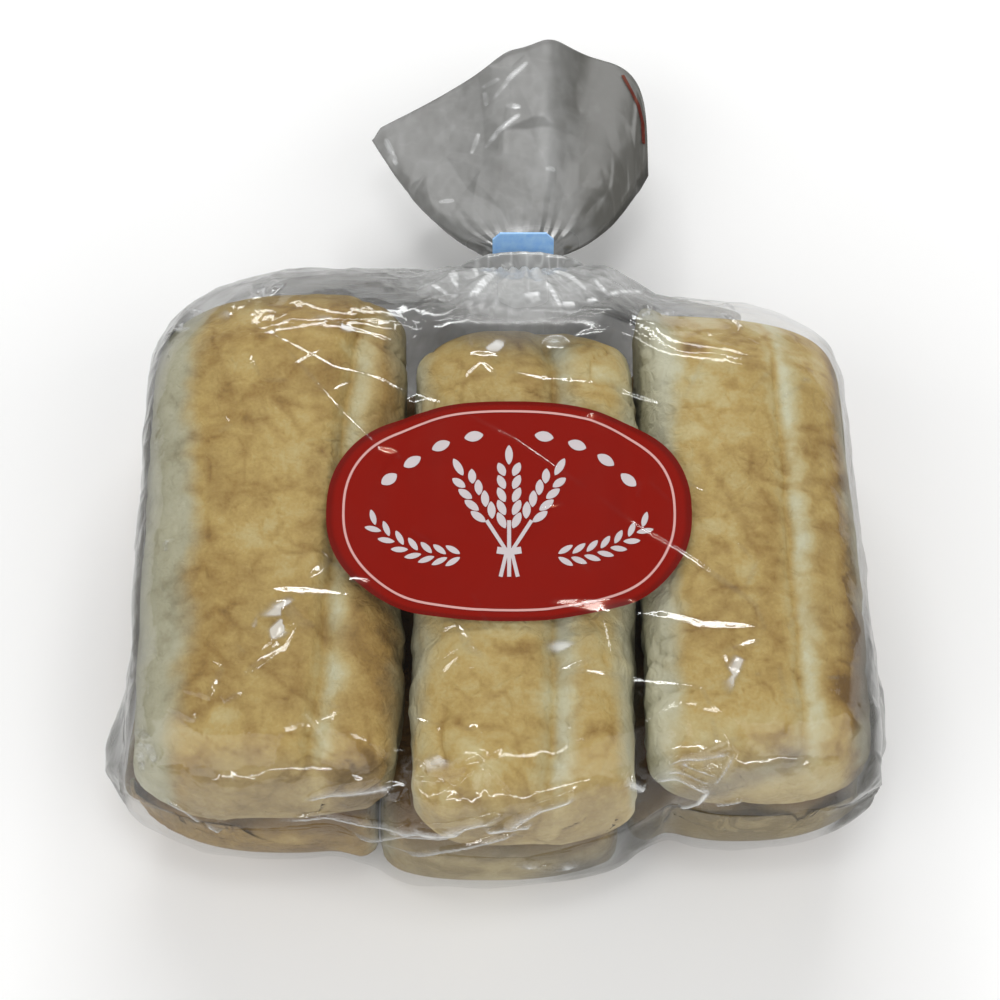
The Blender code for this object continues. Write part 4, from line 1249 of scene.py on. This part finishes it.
def rollRelief(points, facing, settings):
    # lumps, low dents and wrinkles of the crust, and the score that opened along the top: the relief in metres
    # outwards, then how wrinkled, how split open, how near the score's lips and how far right of it each place is
    seed, form, wrinkled = settings["seed"], loafForm, settings["wrinkled"]
    _, (y0, y1), (z0, z1) = rollRanges(settings)
    lumps = (1.6 * mm * layeredNoise(points, 0.045, seed, 2)
             + 1.3 * mm * layeredNoise(points * [0.8, 1.2, 1.0], 0.013, seed + 10))
    # puffed skin: the size of a bent noise, so that soft pads meet in thin dark creases
    bent = points + 0.005 * np.stack([smoothNoise(points, 0.020, seed + k) for k in (21, 22, 23)], axis=-1)
    pads = layeredNoise(bent * [0.75, 1.35, 1.0], 0.017, seed + 24, 2)
    patchy = 0.3 + 0.7 * smoothStep(layeredNoise(points, 0.035, seed + 27, 2), -0.25, 0.35)
    lumps = lumps + wrinkled * form["pads"] * mm * patchy * np.minimum(np.abs(pads) * 2.4, 1.0) ** 0.6
    # the wrinkle lines are cut into the relief and also darken the crust: partly browning, partly painted shade in
    # the creases
    wrinkle = np.maximum(crustStrokes(points, facing, settings, int(form["wrinkles"] * wrinkled)),
                         0.75 * wrinkled * patchy * bell(pads, 0.0, 0.045))
    share = np.clip((points[..., 1] - y0) / (y1 - y0), 0.0, 1.0)
    scoreX = (settings["score"][0] + (settings["score"][1] - settings["score"][0]) * share) * mm
    alongScore = points * [0.2, 1.0, 0.2]
    scoreX = scoreX + 0.0030 * smoothNoise(alongScore, 0.05, seed + 50)
    scoreX = scoreX + 0.0012 * smoothNoise(alongScore, 0.012, seed + 51)
    away = points[..., 0] - scoreX
    fade = window(share, (-0.02, 0.06), (0.95, 1.02))
    fade = fade * smoothStep(points[..., 2], z0 + 0.6 * (z1 - z0), z0 + 0.85 * (z1 - z0))
    groove = fade * mm * sum(depth * bell(away, 0.0, width * mm)
                             for depth, width in (form["valley"], form["dip"], form["crack"]))
    split = fade * (bell(away, 0.0025, 0.0045) - 0.65 * bell(away, 0.0, 0.0016))
    # darker beside the score: browned lips, and painted shade at the groove's edges
    lipsAndGrooveShade = fade * (bell(away, -0.009, 0.004) + 0.5 * bell(away, 0.010, 0.006))
    relief = lumps - groove - form["wrinkleDepth"] * mm * wrinkle
    return relief, wrinkle, split, lipsAndGrooveShade, smoothStep(away, 0.002, 0.009)


def makeRoll(name, settings):
    # the loaf with its relief, held inside the film; "flank" is 1 where the crust stayed pale beside a neighbour,
    # the darkness attribute is how dark it browned, with painted shade added to it
    seed, room = settings["seed"], loafForm["room"] * mm
    points, poles = rollSurface(settings)
    (x0, x1), (y0, y1), (z0, z1) = rollRanges(settings)
    out = closedNormals(points)
    out *= np.sign(np.sum(out * (points - poles.mean(axis=0)), axis=-1, keepdims=True))
    relief, wrinkle, split, lipsAndGrooveShade, rightOfScore = rollRelief(points, out[..., 2], settings)
    # the relief runs out towards the poles, where the rows close up
    rowNumber = np.arange(len(points))
    relief = relief * smoothStep(np.minimum(rowNumber, rowNumber[::-1]), 0, 12)[:, None]
    shape = insideFilm(points + out * relief[..., None], room)
    shape[..., 2] = np.maximum(shape[..., 2], z0)

    x, y, z = points[..., 0], points[..., 1], points[..., 2]
    sway = 0.006 * layeredNoise(points, 0.018, seed + 60, 4)
    left, right = np.array(settings["pale"]) * mm
    paleFront, paleBack = settings["paleEnds"]
    atFront = 1.0 - smoothStep(y - y0 + sway, 0.003, 0.018)
    atBack = 1.0 - smoothStep(y1 - y + sway, 0.003, 0.018)
    ragged = 0.7 + 0.5 * layeredNoise(points, 0.010, seed + 90, 2)
    flank = np.maximum.reduce([1.0 - smoothStep(x - x0 + sway, left - 0.005, left + 0.005),
                               smoothStep(x - x1 + sway, -right - 0.005, -right + 0.005),
                               paleFront * atFront, paleBack * atBack,
                               settings["splitPale"] * np.clip(split, 0.0, 1.0) * ragged])
    marks = {"clouds": layeredNoise(points, 0.034, seed + 70, 2),
             "spots": smoothStep(layeredNoise(points * [0.7, 1.3, 1.0], 0.011, seed + 80), 0.10, 0.55),
             "paleSpots": smoothStep(layeredNoise(points * [0.8, 1.2, 1.0], 0.014, seed + 85), 0.05, 0.5),
             "wrinkles": wrinkle, "lipsAndGrooveShade": lipsAndGrooveShade * ragged, "split": split * ragged}
    # painted shade is added to the browning: right of the score, at the right side, in the wrinkles and lips and
    # along the lower rolls' tops
    browningAndShade = (settings["dark"] + sum(crustForm[key] * mark for key, mark in marks.items())
            + settings["paintedShadeRightOfScore"] * rightOfScore + settings["frontDark"] * atFront
            + settings["paintedShadowOnTop"] * smoothStep(z, z1 - 0.013, z1 - 0.004)
            + settings["paintedShadeAtRight"] * smoothStep(x, x1 - 0.011, x1 - 0.001) - settings["flankLight"] * flank)
    for spotX, spotY, size in settings["browned"]:
        away = np.hypot(x - spotX * mm, y - spotY * mm) + 0.5 * sway
        browningAndShade = browningAndShade + crustForm["patches"] * bell(away, 0.0, size * mm)

    rows, columns = shape.shape[:2]
    front = rows * columns
    back = front + 1
    faces = [gridFaces(rows, columns, wrap=True), capFaces(columns, front),
             capFaces(columns, back, rows - 1)[:, [0, 2, 1]]]
    makePiece(name, np.concatenate([shape.reshape(-1, 3), insideFilm(poles, room)]), faces, crustFinish,
              {"browningAndShade": np.append(browningAndShade, [settings["dark"]] * 2), "flank": np.append(flank, [paleFront, paleBack])})


for name, settings in rollSettings.items():
    makeRoll(name, settings)


# the printed badge under the film: an oval field of red with a fine outline and a wheat sheaf

def onFilm(xMm, yMm, under):
    # the point of the finished film over x, y in millimetres, moved under it by this many millimetres
    form = bagForm
    x, y = np.asarray(xMm) * mm, np.asarray(yMm) * mm
    x = x + rightTaper(y) * np.maximum((x - bodyMiddle) / bodyHalf, 0.0)
    across = (x - bodyMiddle) / bodyHalf
    angle = np.arctan2(fallOff(across, form["sectionPower"]), across)
    column = np.interp(angle, topAngles, np.arange(topColumns))
    start, end = frontLine(x) + form["frontDepth"], backLine(x) - form["backDepth"]
    row = len(frontShares) + (y - start) / (end - start) * len(middleShares)
    place = bilinear(filmShape[:, :topColumns], row, column)
    return place - bilinear(filmOut[:, :topColumns], row, column) * under * mm


def badgeOval(turn, size):
    # x and y of the badge's superellipse at this share of its size
    return [centre + half * size * value for centre, half, value
            in zip(badgeSettings["centre"], badgeSettings["half"], unitSection(turn, badgeSettings["ovalPower"]))]


def badgeField():
    # polar grid: rings from the centre to the oval's edge, closer together near the edge; the rim is a little darker
    form = badgeSettings
    share = np.linspace(0.0, 1.0, form["rings"] + 1)[1:, None] ** 0.7
    turn = np.linspace(0.0, 2 * math.pi, form["turns"], endpoint=False)
    points = onFilm(*badgeOval(turn, share), form["under"])
    rows, columns = points.shape[:2]
    centre = onFilm(*form["centre"], form["under"])
    rim = np.broadcast_to(smoothStep(share, 0.955, 0.975), (rows, columns))
    faces = [gridFaces(rows, columns, wrap=True), capFaces(columns, rows * columns)]
    return np.concatenate([points.reshape(-1, 3), centre.reshape(1, 3)]), faces, np.append(rim, 0.0)


def leaves(spots):
    # pointed ovals: for each (x, y, length, width, turn in degrees) a polar grid whose half width is
    # width/2 |sin|^1.5 of the angle round it; all of them in one mesh, in the badge's plane
    spots, form = np.asarray(spots, float), badgeSettings
    count, rings, turns = len(spots), form["leafRings"], form["leafTurns"]
    share = np.linspace(0.0, 1.0, rings + 1)[1:][None, :, None]
    turn = np.linspace(0.0, 2 * math.pi, turns, endpoint=False)
    x0, y0, length, width, angle = [spots[:, k][:, None, None] for k in range(5)]
    along = np.cos(turn) * length / 2 * share
    aside = np.sign(np.sin(turn)) * np.abs(np.sin(turn)) ** 1.5 * width / 2 * share
    cos, sin = np.cos(np.radians(angle)), np.sin(np.radians(angle))
    points = onFilm(x0 + along * cos - aside * sin, y0 + along * sin + aside * cos, form["motifUnder"])
    middles = onFilm(spots[:, 0], spots[:, 1], form["motifUnder"])[:, None]
    points = np.concatenate([points.reshape(count, -1, 3), middles], axis=1)
    step = (np.arange(count) * (rings * turns + 1))[:, None, None]
    quads = (gridFaces(rings, turns, wrap=True) + step).reshape(-1, 4)
    return points.reshape(-1, 3), [quads, (capFaces(turns, rings * turns) + step).reshape(-1, 3)]


def ribbon(path, width):
    # plan of a flat strip of even width along a line, four points across
    path = np.asarray(path, float)
    forward = np.gradient(path, axis=0)
    forward /= np.linalg.norm(forward, axis=1, keepdims=True)
    side = np.stack([-forward[:, 1], forward[:, 0]], axis=1)
    return path[:, None] + side[:, None] * np.linspace(-0.5, 0.5, 4)[:, None] * width


def band(path, width):
    # a ribbon in the badge's plane
    flat = ribbon(path, width)
    return onFilm(flat[..., 0], flat[..., 1], badgeSettings["motifUnder"]).reshape(-1, 3), [gridFaces(len(path), 4)]


# an ear: step between two pairs of kernels, how far they stand off the stem and lean, their length and width, how
# much shorter each pair is than the one before, and the size of the single kernel at the tip; millimetres, degrees
earForm = {"step": 4.6, "aside": 2.5, "lean": 24, "kernel": (6.2, 2.7), "shorter": 0.25, "tip": (7.0, 2.6)}


def wheatEar(foot, turn, rows):
    # one ear: pairs of kernels leaning off the stem and a single one at the tip
    foot, up = np.asarray(foot, float), np.array([math.cos(math.radians(turn)), math.sin(math.radians(turn))])
    side = np.array([up[1], -up[0]]) * earForm["aside"]
    length, width = earForm["kernel"]
    kernels = []
    for i in range(rows):
        place = foot + up * earForm["step"] * i
        for leans in (1, -1):
            kernels.append((*(place + side * leans), length - earForm["shorter"] * i, width,
                            turn - earForm["lean"] * leans))
    return kernels + [(*(foot + up * (earForm["step"] * rows + 0.6)), *earForm["tip"], turn)]


def badgeMotif(x0, y0):
    # three wheat ears in the middle, an arc of loose grains above and a curved ear of slim leaves on each side
    shapes = []
    for dx, dy, turn, rows in ((0, -4, 90, 5), (-8, -1.5, 118, 4), (8, -1.5, 62, 4)):
        shapes += wheatEar((x0 + dx, y0 + dy), turn, rows)
    arcX, arcY, grain = 47, 33.5, (6.4, 3.8)
    for turn in np.linspace(-58, 58, 9):
        if abs(turn) > 12:  # the middle ear's tip stands there
            angle = math.radians(90 - turn)
            shapes.append((x0 + arcX * math.cos(angle), y0 - 6 + arcY * math.sin(angle), *grain, 180 - turn * 0.7))
    leaf, leafAside, leafLean = (5.6, 2.0), 2.1, 32
    for side in (-1, 1):
        for i in range(7):
            x, y = x0 + side * (18.5 + 4.4 * i), y0 - 16.5 + 0.33 * i**2
            lean = math.degrees(math.atan(0.15 * i)) * side + (180 if side < 0 else 0)
            shapes += [(x, y + leafAside * way, *leaf, lean + leafLean * way * side) for way in (1, -1)]
    return shapes


def joined(parts):
    # several (points, faces) lists as one
    points, faces, start = [], [], 0
    for these, those in parts:
        points.append(these)
        faces += [part + start for part in those]
        start += len(these)
    return np.concatenate(points), faces


def makePrint(name, ink, points, faces, rim=None):
    # a printed piece in its own ink: name, colour, colour at the rim, roughness
    rim = np.zeros(len(points)) if rim is None else rim
    makePiece(name, points, faces, printedInk(*ink), {"rim": rim})


x0, y0 = badgeSettings["centre"]
turn = np.linspace(0.0, 2 * math.pi, badgeSettings["outlineSteps"])
outline = np.stack(badgeOval(turn, badgeSettings["outlineSize"]), axis=1)[::-1]
stems = [band([(x0 + dx * 0.35, y0 - 24), (x0 + dx * 0.10, y0 - 15), (x0 + dx * 0.93, y0 - 4)], 1.3)
         for dx in (-8, 0, 8)]
tie = band([(x0 - 4, y0 - 14.6), (x0, y0 - 15.2), (x0 + 4, y0 - 14.6)], 2.4)
makePrint("badge_field", ("flexographic red ink", "#8a0f07", "#720a05", 0.16), *badgeField())
makePrint("badge_motif", ("flexographic white ink", "#cfc9cc", "#c2b9bd", 0.5),
          *joined([leaves(badgeMotif(x0, y0)), tie] + stems))
makePrint("badge_outline", ("flexographic pale pink ink", "#dba8a4", "#cf9590", 0.5),
          *band(outline, badgeSettings["outlineWidth"]))


def onFan(plan, over):
    # points of the finished fan over a plan: height from the four nearest vertices of its upper layer,
    # weighted by 1 / distance^2, lifted by this many metres
    upper = fanShape[neckRows:, :fanColumnCount // 2].reshape(-1, 3)
    heights = []
    for place in plan:
        away = np.sum((upper[:, :2] - place) ** 2, axis=1)
        nearest = np.argpartition(away, 4)[:4]
        heights.append(np.average(upper[nearest, 2], weights=1.0 / (away[nearest] + 1e-9)))
    return np.column_stack([plan, np.array(heights) + over])


# the end of a printed line along the fan's right edge, in millimetres, lifted by metres
stripeSettings = {"line": [(47.5, 217.0), (50.5, 210.0), (53.3, 203.0), (54.8, 195.0), (54.9, 186.0)],
                  "steps": 60, "width": 1.3, "over": 0.00035}
line = np.array(stripeSettings["line"])
steps = np.linspace(0, len(line) - 1, stripeSettings["steps"])
path = np.stack([np.interp(steps, np.arange(len(line)), line[:, k]) for k in range(2)], axis=1)
plan = ribbon(path, stripeSettings["width"]).reshape(-1, 2) * mm
makePrint("fan_stripe", ("flexographic dark red ink", "#4f1715", "#3f0f0e", 0.5),
          onFan(plan, stripeSettings["over"]), [gridFaces(len(path), 4)])

# the clip keeps its solid and gets a moulded finish

clipFinish = mouldedClip()
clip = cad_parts["clip"]
for place in range(len(clip.material_slots)):
    clip.material_slots[place].material = clipFinish
